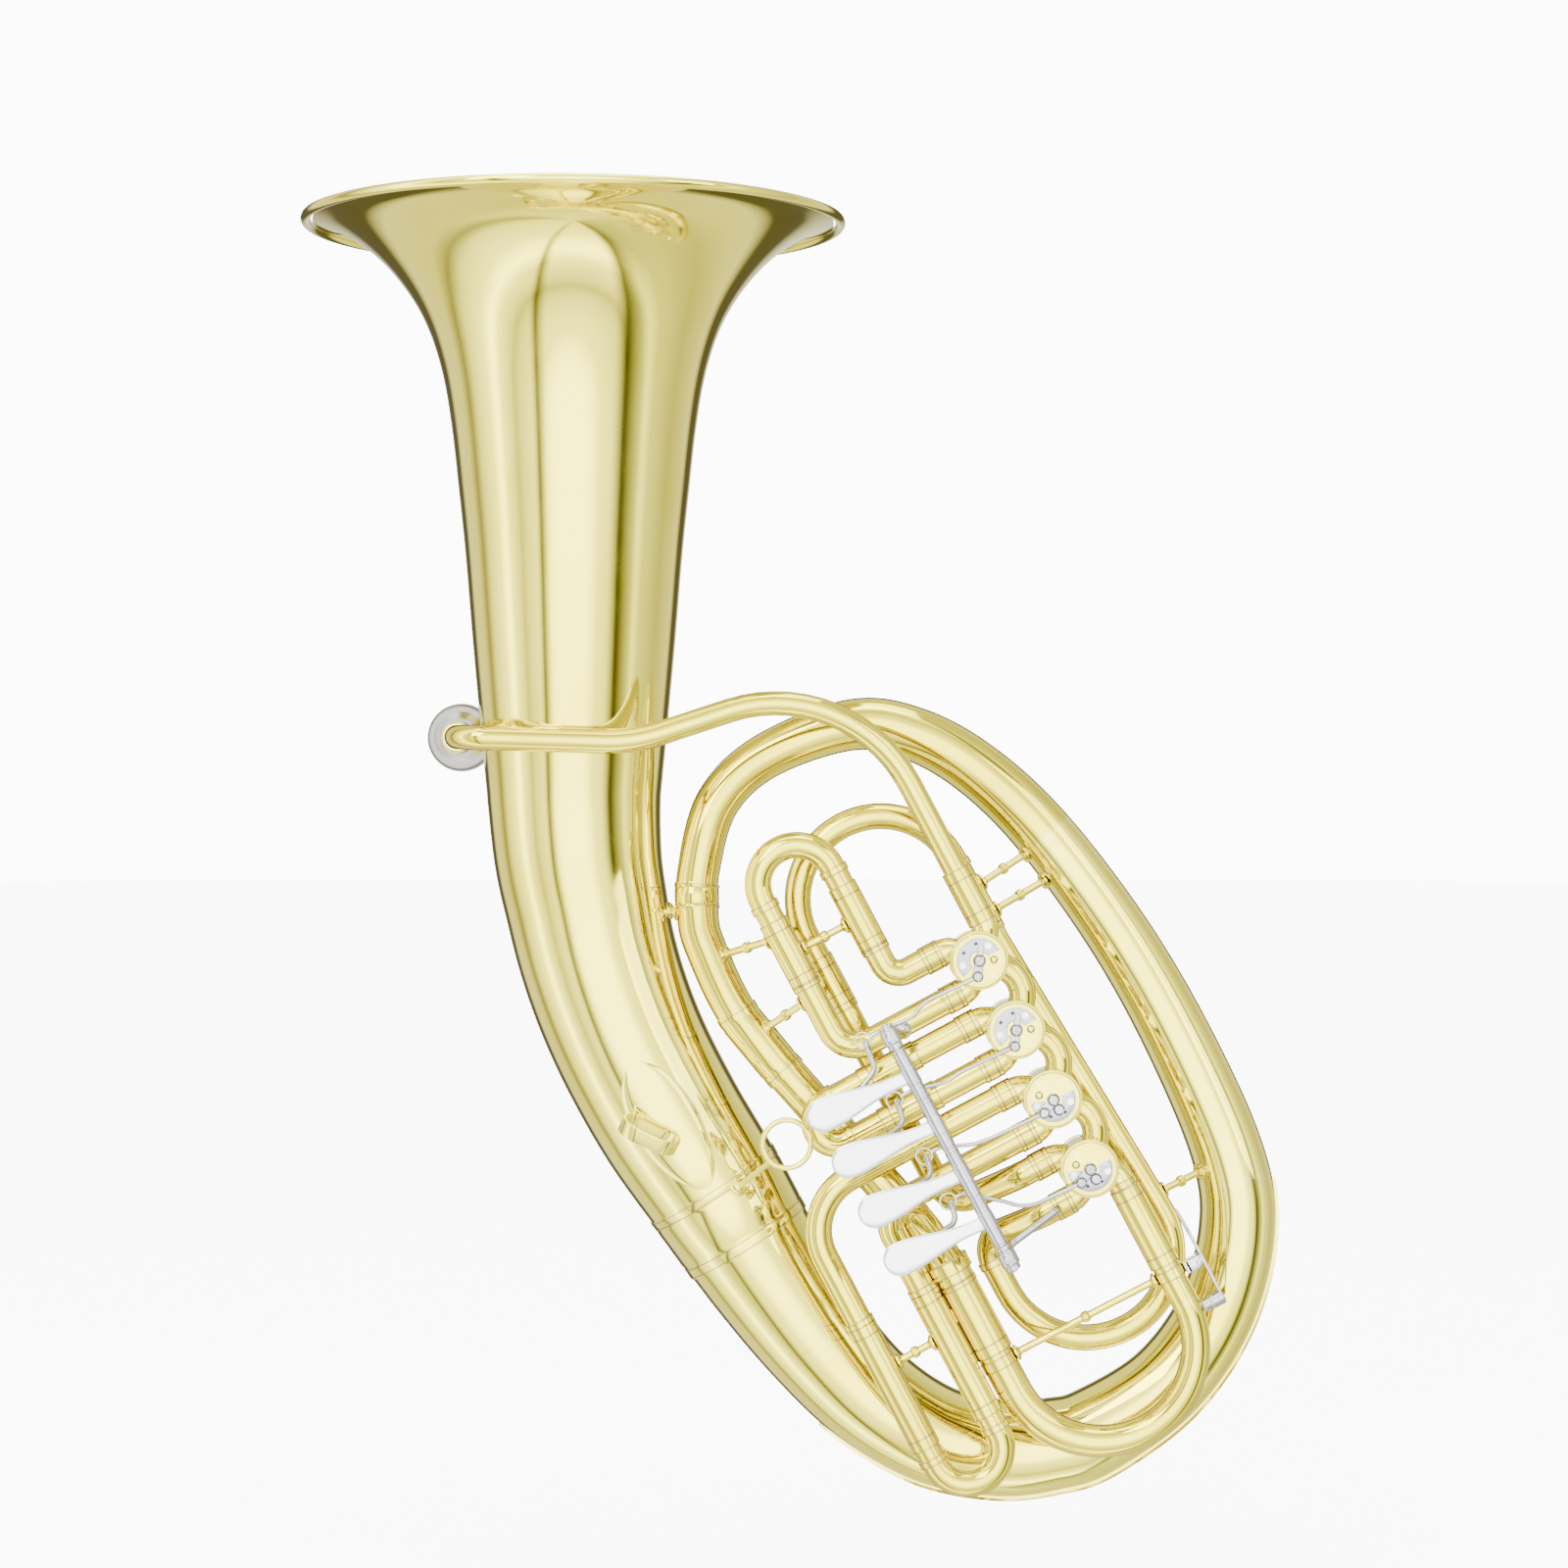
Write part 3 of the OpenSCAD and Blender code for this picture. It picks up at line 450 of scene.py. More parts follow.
def metal(name, light, mid, dark, rough, wear, scratch=0.02):
    """Polished metal: slow colour drift, worn edges, uneven gloss and fine scratches."""
    mat, tree, shader = new_material(name)
    place = add(tree, "TexCoord").outputs["Object"]
    tones = ramp(tree, noise(tree, place, 14, 5), [(0.32, dark), (0.5, mid), (0.68, light)])
    sharpness = add(tree, "NewGeometry").outputs["Pointiness"]
    edges = add(tree, "MapRange", {"Value": sharpness, "From Min": 0.53, "From Max": 0.62})
    worn = add(tree, "Mix", {"Factor": edges.outputs["Result"], "A": tones, "B": (*wear, 1)},
               data_type="RGBA")
    gloss = add(tree, "MapRange", {"Value": noise(tree, place, 55, 6), "From Min": 0.3, "From Max": 0.75,
                                   "To Min": rough[0], "To Max": rough[1]})
    stretch = add(tree, "Mapping", {"Vector": place, "Scale": (1, 1, 0.08)}).outputs["Vector"]
    bump = add(tree, "Bump", {"Height": noise(tree, stretch, 900, 3), "Strength": scratch,
                              "Distance": 0.0002})
    feed(tree, shader, {"Metallic": 1, "Coat Weight": 0.25, "Coat Roughness": 0.06,
                        "Base Color": worn.outputs["Result"], "Roughness": gloss.outputs["Result"],
                        "Normal": bump.outputs["Normal"]})
    return mat


def grain(name, light, dark, rough, scale):
    """Soft matt material with a visible grain."""
    mat, tree, shader = new_material(name)
    place = add(tree, "TexCoord").outputs["Object"]
    cells = add(tree, "TexVoronoi", {"Vector": place, "Scale": scale}).outputs["Distance"]
    tones = ramp(tree, cells, [(0.1, dark), (0.7, light)])
    gloss = add(tree, "MapRange", {"Value": cells, "To Min": rough, "To Max": min(1, rough + 0.2)})
    bump = add(tree, "Bump", {"Height": cells, "Strength": 0.4, "Distance": 0.0003})
    feed(tree, shader, {"Base Color": tones, "Roughness": gloss.outputs["Result"],
                        "Normal": bump.outputs["Normal"]})
    return mat


BRASS = metal("lacquered_brass", (0.95, 0.87, 0.10), (0.93, 0.84, 0.08), (0.88, 0.78, 0.055), (0.04, 0.10),
              (0.96, 0.89, 0.20))
# Darker, deeper golden copy of the brass for the thin tubes: painted shade and golden reflection from the
# tubes round them
TUBE_BRASS_PAINTED_SHADE = metal("tube_brass_painted_shade", (0.82, 0.71, 0.035), (0.78, 0.67, 0.03), (0.70, 0.58, 0.022), (0.04, 0.10),
                   (0.88, 0.79, 0.10))
# Dark lines: solder joints at the ends of sleeves and ferrules, painted shade in and beside turned grooves
LINES_AND_GROOVE_SHADE = metal("dark_lines_and_groove_shade", (0.30, 0.21, 0.05), (0.24, 0.16, 0.035), (0.16, 0.10, 0.02), (0.25, 0.45),
                   (0.34, 0.25, 0.08))
BRASS_DARK = metal("raw_brass", (0.78, 0.62, 0.30), (0.70, 0.54, 0.25), (0.58, 0.43, 0.19), (0.16, 0.34),
                   (0.85, 0.72, 0.40), 0.08)
NICKEL = metal("nickel_silver", (0.44, 0.44, 0.46), (0.38, 0.38, 0.40), (0.31, 0.31, 0.33), (0.04, 0.10),
               (0.66, 0.66, 0.68))
# Brighter copy of the nickel silver for the finger plates: painted light
PADDLE_PAINTED_LIGHT = metal("nickel_silver_painted_light", (0.88, 0.88, 0.89), (0.85, 0.85, 0.86), (0.80, 0.80, 0.81),
               (0.03, 0.07), (0.92, 0.92, 0.92))
SILVER = metal("silver_plate", (0.93, 0.93, 0.92), (0.91, 0.91, 0.90), (0.87, 0.87, 0.86), (0.16, 0.26),
               (0.95, 0.95, 0.95))
BUMPER = grain("pale_bumper", (0.86, 0.86, 0.88), (0.66, 0.66, 0.70), 0.5, 900)
# Near-black material for thin discs and rings: painted shade in the gaps round screws and in holes
GAP_SHADE = grain("painted_gap_shade", (0.03, 0.03, 0.035), (0.012, 0.012, 0.014), 0.6, 900)

SLOT_MATERIAL = {"lacquered_brass": BRASS, "nickel_silver": NICKEL, "silver_plate": SILVER, "cork": BUMPER}
for entry in frame["record"]["subparts"]:
    node = frame["nodes"][entry["node"]]
    material = SLOT_MATERIAL[entry["material_slot"]]
    if entry["node"] == "valve_knuckles":
        material = TUBE_BRASS_PAINTED_SHADE
    if entry["node"].startswith("rotor"):
        material = BRASS_DARK
    node.data.materials.clear()
    node.data.materials.append(material)


def brass(name, shape, nodes, body="root"):
    return make(name, shape, body, nodes, BRASS)


# Pieces in the darker copy of the brass, whose colour paints shade and reflection from the tubes round them
def tube_brass_painted_shade(name, shape, nodes, body="root"):
    return make(name, shape, body, nodes, TUBE_BRASS_PAINTED_SHADE)


def nickel(name, shape, nodes, body="root", sharp=38):
    return make(name, shape, body, nodes, NICKEL, sharp)


# Pieces in the near-black material, which paint shade in gaps and holes
def paint_gap_shade(name, shape, body="root"):
    return make(name, shape, body, [], GAP_SHADE)


# ---- Bell and main bore ----
def bell():
    """Flare and tail in one skin, with the wall measured square to the surface."""
    steps, sides, stations = 8, 128, 90
    count = (len(FLARE) - 1) * steps
    outline = [(r, -depth, 0) for r, depth in FLARE]
    outer = [spline(outline, (len(FLARE) - 1) * k / count) for k in range(count + 1)]
    inner = []
    for k, p in enumerate(outer):
        way = (outer[min(k + 1, count)] - outer[max(k - 1, 0)]).normalized()
        inner.append((p[0] - WALL * way[1], p[1] + WALL * way[0]))

    def level_rings(line):
        return [[Vector((p[0] * math.cos(a), p[0] * math.sin(a), p[1])) * MM for a in round_angles(sides)]
                for p in reversed(line)]

    tail_out, tail_in = [], []
    for k in range(1, stations + 1):
        t = 1 + (BELL_END - 1) * k / stations
        place, r = bore(t)
        f = Vector((0, 1, 0))
        e = f.cross(bore_dir(t)).normalized()
        for rings, grow in ((tail_out, 0), (tail_in, -WALL)):
            rings.append([seat(place + (r + grow) * (-math.cos(a) * e + math.sin(a) * f))
                          for a in round_angles(sides)])
    shape = Shape()
    shape.loft(level_rings(outer) + tail_out + tail_in[::-1] + level_rings(inner)[::-1], True)
    brass("bell", shape, ["bell_flare", "bell_tail"])


def bell_rim():
    """Wire bead rolled into the rim, a little flattened on top."""
    centre_z = 0.4 - BEAD_R
    profile = [(BELL_R - BEAD_R + BEAD_R * math.cos(a), min(0, centre_z + BEAD_R * math.sin(a)))
               for a in round_angles(28)]
    shape = Shape().lathe(profile, Vector((0, 0, 0)), Vector((0, 0, 1)), 192)
    brass("bell_rim_bead", shape, ["bell_rim"])


def bow_guard():
    """Plate soldered on the outside of the bow, with a raised edge all round."""
    def height(across, share):
        edge = min(min(across, 1 - across) * 3.2, min(share, 1 - share) * 12)
        return 1.05 + (0.35 if edge < 0.14 else 0)

    shape = leaf_plate((10.8, 18.6), 90, 20, 0, 26, 2, 0.001, 0.02, height)
    brass("bow_guard_plate", shape, ["bow_guard"])


def main_bore():
    brass("bottom_bow_tube", bore_piece(BELL_END, BOW_END, 150, 72), ["bottom_bow"])
    brass("side_branch_tube", bore_piece(BOW_END, SIDE_END, 60), ["side_branch"])
    tube_brass_painted_shade("top_bow_tube", bore_piece(SIDE_END, TOP_END, 110, 56), ["top_bow"])
    tube_brass_painted_shade("left_branch_tube", bore_piece(TOP_END, LEFT_END, 100, 48), ["left_branch"])
    joint, rings = Shape(), Shape()
    # The dark lines at 8.055 and 8.585 lie beside the grooves: painted shade; those at the ends are solder
    # joints
    bore_ferrule(joint, 7.95, 8.7, 0.13, 0.14, 96, (7.965, 8.055, 8.585, 8.675))
    brass("bell_joint_ferrule", joint, ["bell_ferrule"])
    bore_ferrule(rings, 28.3, 28.9, 0.12, 0.1, 56, (28.33, 28.85))
    bore_ferrule(rings, 30.9, 31.7, 0.1, 0.1, 48, (30.94, 31.64))
    tube_brass_painted_shade("left_branch_ferrules", rings, ["branch_ferrules"])


# ---- Leadpipe and mouthpiece ----

LEAD_START = VALVE + valve_dir((-PORT_OFF, -PORT_END, 0))
LEAD_FOOT = LEAD_START - 30 * V_AXIS
LEAD_TOP = LEAD_START - 143 * V_AXIS
LEAD_FRONT = Vector((33, -56, 391.4))
LEAD_TURN = Vector((-56, -56, 394))
CUP_AXIS = Vector((-6, 101, 1)).normalized()


def leadpipe():
    shape = Shape()
    pipe(shape, seat, [LEAD_FOOT, LEAD_TOP, LEAD_FRONT, LEAD_TURN, LEAD_TURN + 27 * CUP_AXIS], [76, 80, 16],
         LEAD_R, LEAD_R - TUBE_WALL, 56, straight)
    band(shape, seat, LEAD_START, LEAD_FOOT, SLEEVE_R, LEAD_R - 0.1, straight)
    tube_brass_painted_shade("leadpipe_tube", shape, ["leadpipe"])


def mouthpiece_receiver():
    profile = [(6.25, 0), (6.9, 0), (7.2, 0.4), (7.4, 2), (7.4, 4), (7.9, 4.3), (7.9, 5.3), (7.4, 5.6),
               (7.4, 23.5), (7.7, 24.5), (8, 26.2), (8, 31.4), (7.7, 32.6), (7.2, 33), (6.25, 33)]
    shape = Shape().lathe(profile, seat(LEAD_TURN + 17 * CUP_AXIS), CUP_AXIS, 64)
    brass("receiver_tube", shape, ["mouthpiece_receiver"])


def curve(points, steps=5):
    """Smooth outline through points."""
    count = (len(points) - 1) * steps
    flat = [(a, b, 0) for a, b in points]
    places = [spline(flat, (len(points) - 1) * k / count) for k in range(count + 1)]
    return [(p.x, p.y) for p in places]


def mouthpiece():
    outside = curve([(6.1, 30), (7.2, 38), (9.2, 44), (14.2, 51), (17, 58), (17.4, 64), (16.8, 68)])
    rim = curve([(16.8, 68), (17.9, 69.4), (17.9, 71.5), (16.9, 72.7), (15.2, 73), (13.6, 72.3), (12.6, 70.2),
                 (12, 65), (9.8, 57), (6.2, 51), (3.4, 47), (3.3, 43)])
    profile = [(4.2, 0), (5.0, 0), (5.2, 0.3)] + outside + rim[1:]
    shape = Shape().lathe(profile, seat(LEAD_TURN + 28 * CUP_AXIS), CUP_AXIS, 96)
    make("mouthpiece_cup", shape, "mouthpiece_body", ["mouthpiece"], SILVER)


# ---- Small parts of the valve section ----
def inset(points, amount):
    """Moves a counter-clockwise outline inwards."""
    out = []
    for i, p in enumerate(points):
        a, b = Vector(points[i - 1]), Vector(points[(i + 1) % len(points)])
        way = (b - a).normalized()
        out.append((p[0] - amount * way.y, p[1] + amount * way.x))
    return out


def slab(shape, outline, base, low, high, edge=0.3, axes=((1, 0, 0), (0, 1, 0))):
    """Plate over a counter-clockwise outline in the valve frame, with rounded edges and its own axes."""
    base, u, v = Vector(base), Vector(axes[0]), Vector(axes[1])
    w = u.cross(v)
    levels = [(edge, low), (edge * 0.3, low + edge * 0.3), (0, low + edge), (0, high - edge),
              (edge * 0.3, high - edge * 0.3), (edge, high)]
    shape.loft([[valve(base + u * p[0] + v * p[1] + w * level) for p in inset(outline, cut)]
                for cut, level in levels], False, (True, True))


def arc(r, start, end, steps, centre=(0, 0)):
    angles = [math.radians(start + (end - start) * k / steps) for k in range(steps + 1)]
    return [(centre[0] + r * math.cos(a), centre[1] + r * math.sin(a)) for a in angles]


def turned(angle):
    """The two axes of a plate turned by an angle."""
    a = math.radians(angle)
    u, v = Vector((1, 0, 0)), Vector((0, 1, 0))
    return u * math.cos(a) + v * math.sin(a), v * math.cos(a) - u * math.sin(a)


def screw(shape, base, r, height, angle):
    """Slotted screw head: a low disc with two raised halves."""
    knob(shape, [(0, 0), (r, 0), (r, height * 0.45), (0, height * 0.45)], base, sides=32)
    lift = math.degrees(math.asin(0.14))
    for side in (0, 180):
        half = arc(r, side + lift, side + 180 - lift, 16)
        slab(shape, half, base, height * 0.4, height, r * 0.12, turned(angle))


def bar(shape, base, length, half_start, half_end, angle):
    """Arm with round ends that tapers along its length."""
    outline = arc(half_end, -90, 90, 10, (length, 0)) + arc(half_start, 90, 270, 10)
    slab(shape, outline, base, 0, 1.5, 0.25, turned(angle))


def knob(shape, profile, base, axis=(0, 0, 1), sides=48, close=False):
    """Turned part in the valve frame."""
    shape.lathe(profile, valve(Vector(base)), valve_dir(Vector(axis)), sides, close)


ARM_LOW = PLATE_TOP + 0.5
ROD_W = ARM_LOW + 3.6
ARM_R = 7.9
CORK_R = 8.6
ARM_ANGLE = [55, 55, 25, 25]
PLATE_FROM = [180, 180, -20, -20]
CORK_ANGLE = [[212, 348], [212, 348], [-7, 147], [-7, 147]]
# Screws of the stop plates and of the valve faces: radius and angle
PLATE_SCREW = (5.8, 92)
FACE_SCREW = (7.3, -24)


def polar(r, angle, v, w):
    a = math.radians(angle)
    return Vector((r * math.cos(a), v + r * math.sin(a), w))


def bearing_plates():
    for i, v in enumerate(ROW):
        profile = [(3.06, 0), (14.4, 0), (14.7, 0.3), (14.7, 2.2), (14.4, 2.6), (13.6, 2.8), (13.3, 3.2),
                   (12.3, 3.2), (12.05, 2.95), (11.75, 2.95), (11.5, 3.2), (3.3, 3.2), (3.06, 3.0)]
        shape = Shape()
        knob(shape, profile, (0, v, CASING_HIGH), sides=96, close=True)
        first = len(shape.faces)
        line = [(13.0, 2.9), (13.35, 2.9), (13.35, 3.23), (13.0, 3.23)]
        knob(shape, line, (0, v, CASING_HIGH), sides=96, close=True)
        shape.darken(first)
        brass("valve_face_%d" % (i + 1), shape, ["bearing_plate_%d" % (i + 1)])


def rear_caps():
    """Screw caps with a knurled edge."""
    shape = Shape()
    profile = [(0, 0), (2.6, 0), (3.2, 0.3), (3.5, 0.6), (10.6, 0.6), (11.1, 0.1), (12.8, 0.0), (13.9, 0.2),
               (14.3, 0.7), (14.3, 2.6), (14.1, 2.9), (3.06, 2.9), (3.06, 0.9), (0, 0.9)]
    ridges = 72
    for v in ROW:
        knob(shape, profile, (0, v, CASING_LOW - 2.9), sides=96)
        for k in range(ridges):
            axes = turned(360 * k / ridges)
            base = Vector((0, v, CASING_LOW - 2.2)) + axes[0] * 14.2
            slab(shape, [(0, -0.22), (0.28, 0), (0, 0.22)], base, 0, 1.7, 0.02, axes)
    brass("rear_screw_caps", shape, ["rear_caps"])


def casing_bands():
    """Turned rings round the top and bottom of each casing."""
    shape = Shape()
    profile = [(13.9, 0), (14.2, 0), (14.45, 0.3), (14.45, 1.6), (14.2, 1.9), (13.9, 1.9)]
    for v in ROW:
        for w in (CASING_LOW + 0.1, CASING_HIGH - 2.1):
            knob(shape, profile, (0, v, w), sides=96, close=True)
    brass("casing_bands", shape, [])


def stop_plates():
    """Sectors that carry the corks, with holes and screws; thin dark discs are painted shade in the holes and
    in the gaps round the screws.
    """
    shape, shade_paint, heads = Shape(), Shape(), Shape()
    hole_ring = [(0.85, 0), (1.35, 0), (1.35, 0.16), (1.2, 0.24), (1.0, 0.24), (0.85, 0.16)]
    for i, v in enumerate(ROW):
        start = PLATE_FROM[i]
        outline = arc(11.3, start, start + 200, 48) + arc(4.5, start + 200, start, 32)
        slab(shape, outline, (0, v, PLATE_TOP - 0.3), 0, 0.5, 0.12)
        for turn in (74, 126):
            knob(shape, hole_ring, polar(CORK_R, start + turn, v, PLATE_TOP + 0.15), close=True)
    for i, v in enumerate(ROW):
        if i >= 2:
            base = polar(*PLATE_SCREW, v, PLATE_TOP + 0.16)
            knob(shade_paint, [(0, 0), (3.0, 0), (3.0, 0.1), (0, 0.1)], base)
            knob(shape, [(0, 0), (2.1, 0), (2.1, 0.22), (1.9, 0.3), (0, 0.3)], base)
        place = (FACE_SCREW[0], FACE_SCREW[1] + PLATE_FROM[i], v)
        knob(shade_paint, [(0, 0), (2.0, 0), (2.0, 0.1), (0, 0.1)], polar(*place, PLATE_TOP - 0.32))
        knob(heads, [(0, 0), (1.4, 0), (1.4, 0.3), (1.1, 0.5), (0, 0.5)], polar(*place, PLATE_TOP - 0.3))
        for turn in (74, 126):
            base = polar(CORK_R, PLATE_FROM[i] + turn, v, PLATE_TOP + 0.16)
            knob(shade_paint, [(0, 0), (0.85, 0), (0.85, 0.1), (0, 0.1)], base)
    nickel("stop_sectors", shape, ["stop_plates"])
    paint_gap_shade("screw_painted_shade", shade_paint)
    brass("face_screws", heads, [])


def stop_corks():
    shape = Shape()
    profile = [(0, 0), (1.75, 0), (1.8, 0.2), (1.8, 1.35), (1.6, 1.7), (1.2, 1.8), (0, 1.8)]
    for i, v in enumerate(ROW):
        for a in CORK_ANGLE[i]:
            knob(shape, profile, polar(CORK_R, a, v, PLATE_TOP + 0.2))
    make("stop_bumpers", shape, "root", ["stop_corks"], BUMPER)


def stop_arm(i):
    v = ROW[i]
    angle = ARM_ANGLE[i]
    body = "rotor_%d_body" % (i + 1)
    shape = Shape()
    base = Vector((0, v, ARM_LOW))
    knob(shape, [(1.66, 0), (2.9, 0), (3.1, 0.2), (3.1, 1.9), (2.8, 2.2), (1.66, 2.2)], base, close=True)
    bar(shape, base, ARM_R, 2.3, 2.5, angle)
    if i < 2:
        bar(shape, base, 7, 2.0, 1.45, angle + 180)
    screw(shape, base + Vector((0, 0, 2.1)), 2.4, 0.9, 20 + 35 * i)
    pin = polar(ARM_R, angle, v, ARM_LOW)
    knob(shape, [(0, 0.9), (1.3, 0.9), (1.3, 5.3), (0, 5.3)], pin)
    screw(shape, pin + Vector((0, 0, 5.2)), 2.1, 0.9, 70 - 30 * i)
    nickel("stop_arm_piece_%d" % (i + 1), shape, ["stop_arm_%d" % (i + 1)], body)
    # Thin dark rings round the two screws of the arm: painted shade in their gaps
    shade_paint = Shape()
    knob(shade_paint, [(2.4, 2.15), (3.0, 2.05), (3.0, 2.3), (2.4, 2.3)], base, close=True)
    knob(shade_paint, [(2.1, 5.25), (2.6, 5.25), (2.6, 5.4), (2.1, 5.4)], pin, close=True)
    paint_gap_shade("arm_screw_gaps_%d" % (i + 1), shade_paint, body)


# ---- Rods and levers ----
LEVER_U = 56.7
LEVER_LEN = 55.5
PLATE_W = 17
SHAFT_W = 46
SHAFT_R = 1.8
ROOT_V = [32.2, 59.7, 86.6, 112.8]
TIP_V = [28.4, 53.9, 81.6, 108.2]
LEAN = [math.atan2(tip - root, LEVER_LEN) for root, tip in zip(ROOT_V, TIP_V)]
BALL_V = [8.5, 42, 73.5, 99]
BALL_U = 69
CRANK_U = 84
HUB_EDGE = [17.7, 45.7, 72.7, 99.6, 126.5]
POST_V = [4.4, 127.2]
POST_LEN = 12.6


def rounded_eye(shape, base, inner, outer):
    """Flat eye of a link rod."""
    half = 1.2
    profile = [(inner, -half + 0.3), (inner + 0.25, -half), (outer - 0.5, -half), (outer - 0.12, -half + 0.4)]
    knob(shape, profile + [(outer, 0)] + other_end(profile, 0), base, close=True)


def link_rod(i):
    a = polar(ARM_R, ARM_ANGLE[i], ROW[i], ROD_W)
    b = Vector((BALL_U + 0.9, BALL_V[i] - 1.1, ROD_W))
    dip = Vector((a.x + 30, a.y - 1.5, ROD_W))
    rise = Vector((a.x + 38, (a.y + b.y) / 2 + 2, ROD_W))
    shape = Shape()
    points = [a + Vector((2, 0, 0)), dip, rise, b - Vector((9, 0, 0)), b - Vector((4, 0, 0))]
    pipe(shape, valve, points, [20, 12, 8], 1.06, sides=24)
    rounded_eye(shape, a, 1.36, 2.9)
    rounded_eye(shape, b, 3.5, 4.7)
    nickel("link_rod_piece_%d" % (i + 1), shape, ["link_rod_%d" % (i + 1)], "link_%d_body" % (i + 1))


def paddle(i):
    """Finger plate with a crowned top, narrow at the shaft and round at its free end."""
    lean = LEAN[i]
    reach = LEVER_LEN - PLATE_W / 2
    stations = [reach * k / 22 for k in range(23)]
    stations += [reach + PLATE_W / 2 * math.sin(math.pi / 2 * k / 14) for k in range(1, 15)]
    rings = []
    for s in stations:
        if s <= reach:
            share = max(0, (s / reach - 0.2) / 0.8)
            half = 3.4 + (PLATE_W / 2 - 3.4) * share * share * (3 - 2 * share)
        else:
            half = max(0.15, PLATE_W / 2 * math.sqrt(max(0, 1 - ((s - reach) * 2 / PLATE_W) ** 2)))
        taper = min(1, half / 4) ** 0.5
        crown = (1.05 + 0.3 * min(1, s / reach)) * taper
        arch = 0.5 * math.sin(math.pi * s / LEVER_LEN) - 0.3 * (s / LEVER_LEN) ** 3
        ring = []
        for a in round_angles(32):
            x = half * math.copysign(abs(math.cos(a)) ** 0.75, math.cos(a))
            deep = crown if math.sin(a) > 0 else 0.8 * taper
            w = arch + deep * math.copysign(abs(math.sin(a)) ** 0.7, math.sin(a))
            ring.append(valve((LEVER_U + s * math.cos(lean) - x * math.sin(lean),
                               ROOT_V[i] + s * math.sin(lean) + x * math.cos(lean), SHAFT_W + w)))
        rings.append(ring)
    return Shape().loft(rings, False, (True, True))


def lever(i):
    """Hub on the shaft with the crank that carries the ball, and the finger plate."""
    start, end = HUB_EDGE[i] + 0.15, HUB_EDGE[i + 1] - 0.15
    n = end - start
    root = ROOT_V[i] - start
    half = [(SHAFT_R + 0.05, 0), (3.3, 0), (3.6, 0.35), (3.6, 0.9), (3.35, 1.05), (3.35, 1.25), (3.6, 1.4)]
    saddle = [(3.6, root - 4.4), (3.85, root - 4.1), (3.85, root + 4.1), (3.6, root + 4.4)]
    shape = Shape()
    knob(shape, half + saddle + other_end(half, n), (LEVER_U, start, SHAFT_W), (0, 1, 0), 64, True)
    under_v = ROOT_V[i] + (CRANK_U - LEVER_U) * math.tan(LEAN[i])
    ball = Vector((BALL_U, BALL_V[i], ROD_W))
    points = [(CRANK_U, under_v, SHAFT_W - 0.6), (CRANK_U, under_v - 2, SHAFT_W - 11),
              (71, (ball.y + under_v) / 2 + 3, ROD_W + 9),
              ball + Vector((0, 0, 8)), ball + Vector((0, 0, 6.2))]
    pipe(shape, valve, points, [4, 5, 2.5], 1.5, sides=28)
    knob(shape, [(0, -1.7), (0.85, -1.47), (1.47, -0.85), (1.7, 0), (1.47, 0.85), (1.05, 1.2), (1.05, 5.9),
                 (1.5, 6.4), (1.5, 7.0), (0, 7.0)], ball)
    foot = [(0, 0), (2.6, 0), (2.6, 0.5), (2.0, 1.1), (0, 1.1)]
    knob(shape, foot, (CRANK_U, under_v, SHAFT_W - 1.9), sides=32)
    body = "lever_%d_body" % (i + 1)
    nickel("lever_piece_%d" % (i + 1), shape, ["lever_%d" % (i + 1)], body)
    # The finger plate takes the brighter copy of the nickel silver, which paints light
    make("lever_paddle_%d" % (i + 1), paddle(i), body, [], PADDLE_PAINTED_LIGHT, 50)


def lever_shaft():
    shape = Shape()
    start, n = POST_V[0] - 1, POST_V[1] - POST_V[0] + POST_LEN + 2
    half = [(0, 0), (1.4, 0), (1.8, 0.4)]
    profile = half + other_end(half, n)
    knob(shape, profile, (LEVER_U, start, SHAFT_W), (0, 1, 0), 40)
    nickel("lever_shaft_rod", shape, ["lever_shaft"])


def lever_posts():
    shape = Shape()
    bore_r = SHAFT_R + 0.02
    profile = [(bore_r, 0), (3.5, 0), (3.9, 0.4), (3.9, 1.0), (3.6, 1.2), (3.6, 1.5), (3.9, 1.7), (3.9, 2.5),
               (4.5, 2.8), (4.8, 3.3), (4.8, 9.3), (4.5, 9.8), (3.9, 10.1), (3.9, 12.2), (3.5, 12.6),
               (bore_r, 12.6)]
    for v in POST_V:
        knob(shape, profile, (LEVER_U, v, SHAFT_W), (0, 1, 0), 48, True)
        screw(shape, (LEVER_U, v + POST_LEN / 2, SHAFT_W + 4.5), 2.1, 1.2, 30)
    near_v, far_v = [v + POST_LEN / 2 for v in POST_V]
    low_v = ROW[3] + PORT_OFF
    foot = Vector((50, 13.6, 6.2))
    near_post = [(LEVER_U, near_v, SHAFT_W - 3.4), (foot.x, foot.y, 30), foot]
    far_post = [(LEVER_U, far_v, SHAFT_W - 3.4), (LEVER_U, far_v, 13), (24, low_v, 10), (23.5, low_v, 7.2)]
    pipe(shape, valve, near_post, [10], 2.25, sides=28)
    pipe(shape, valve, far_post, [9, 2.4], 2.05, sides=28)
    knob(shape, [(0, 0), (4.6, 0), (4.6, 0.5), (3.9, 1.3), (2.6, 2.2), (0, 2.2)], foot)
    nickel("lever_brackets", shape, ["lever_posts"])


# ---- Valve slides ----
SLIDE_1_U, SLIDE_1_END = [43, 82], -65
SLIDE_2_END = 81
SLIDE_3_U, SLIDE_3_END = [102.6, 138], 205
LOOP_W, LOOP_U, LOOP_END = -24.2, [-13.8, 71], -37
STUB_END = 26
SLEEVE_BORE = TUBE_R + 0.05


def tube(shape, points, bends, r=TUBE_R, thick=TUBE_WALL):
    pipe(shape, valve, points, bends, r, r - thick, 48)


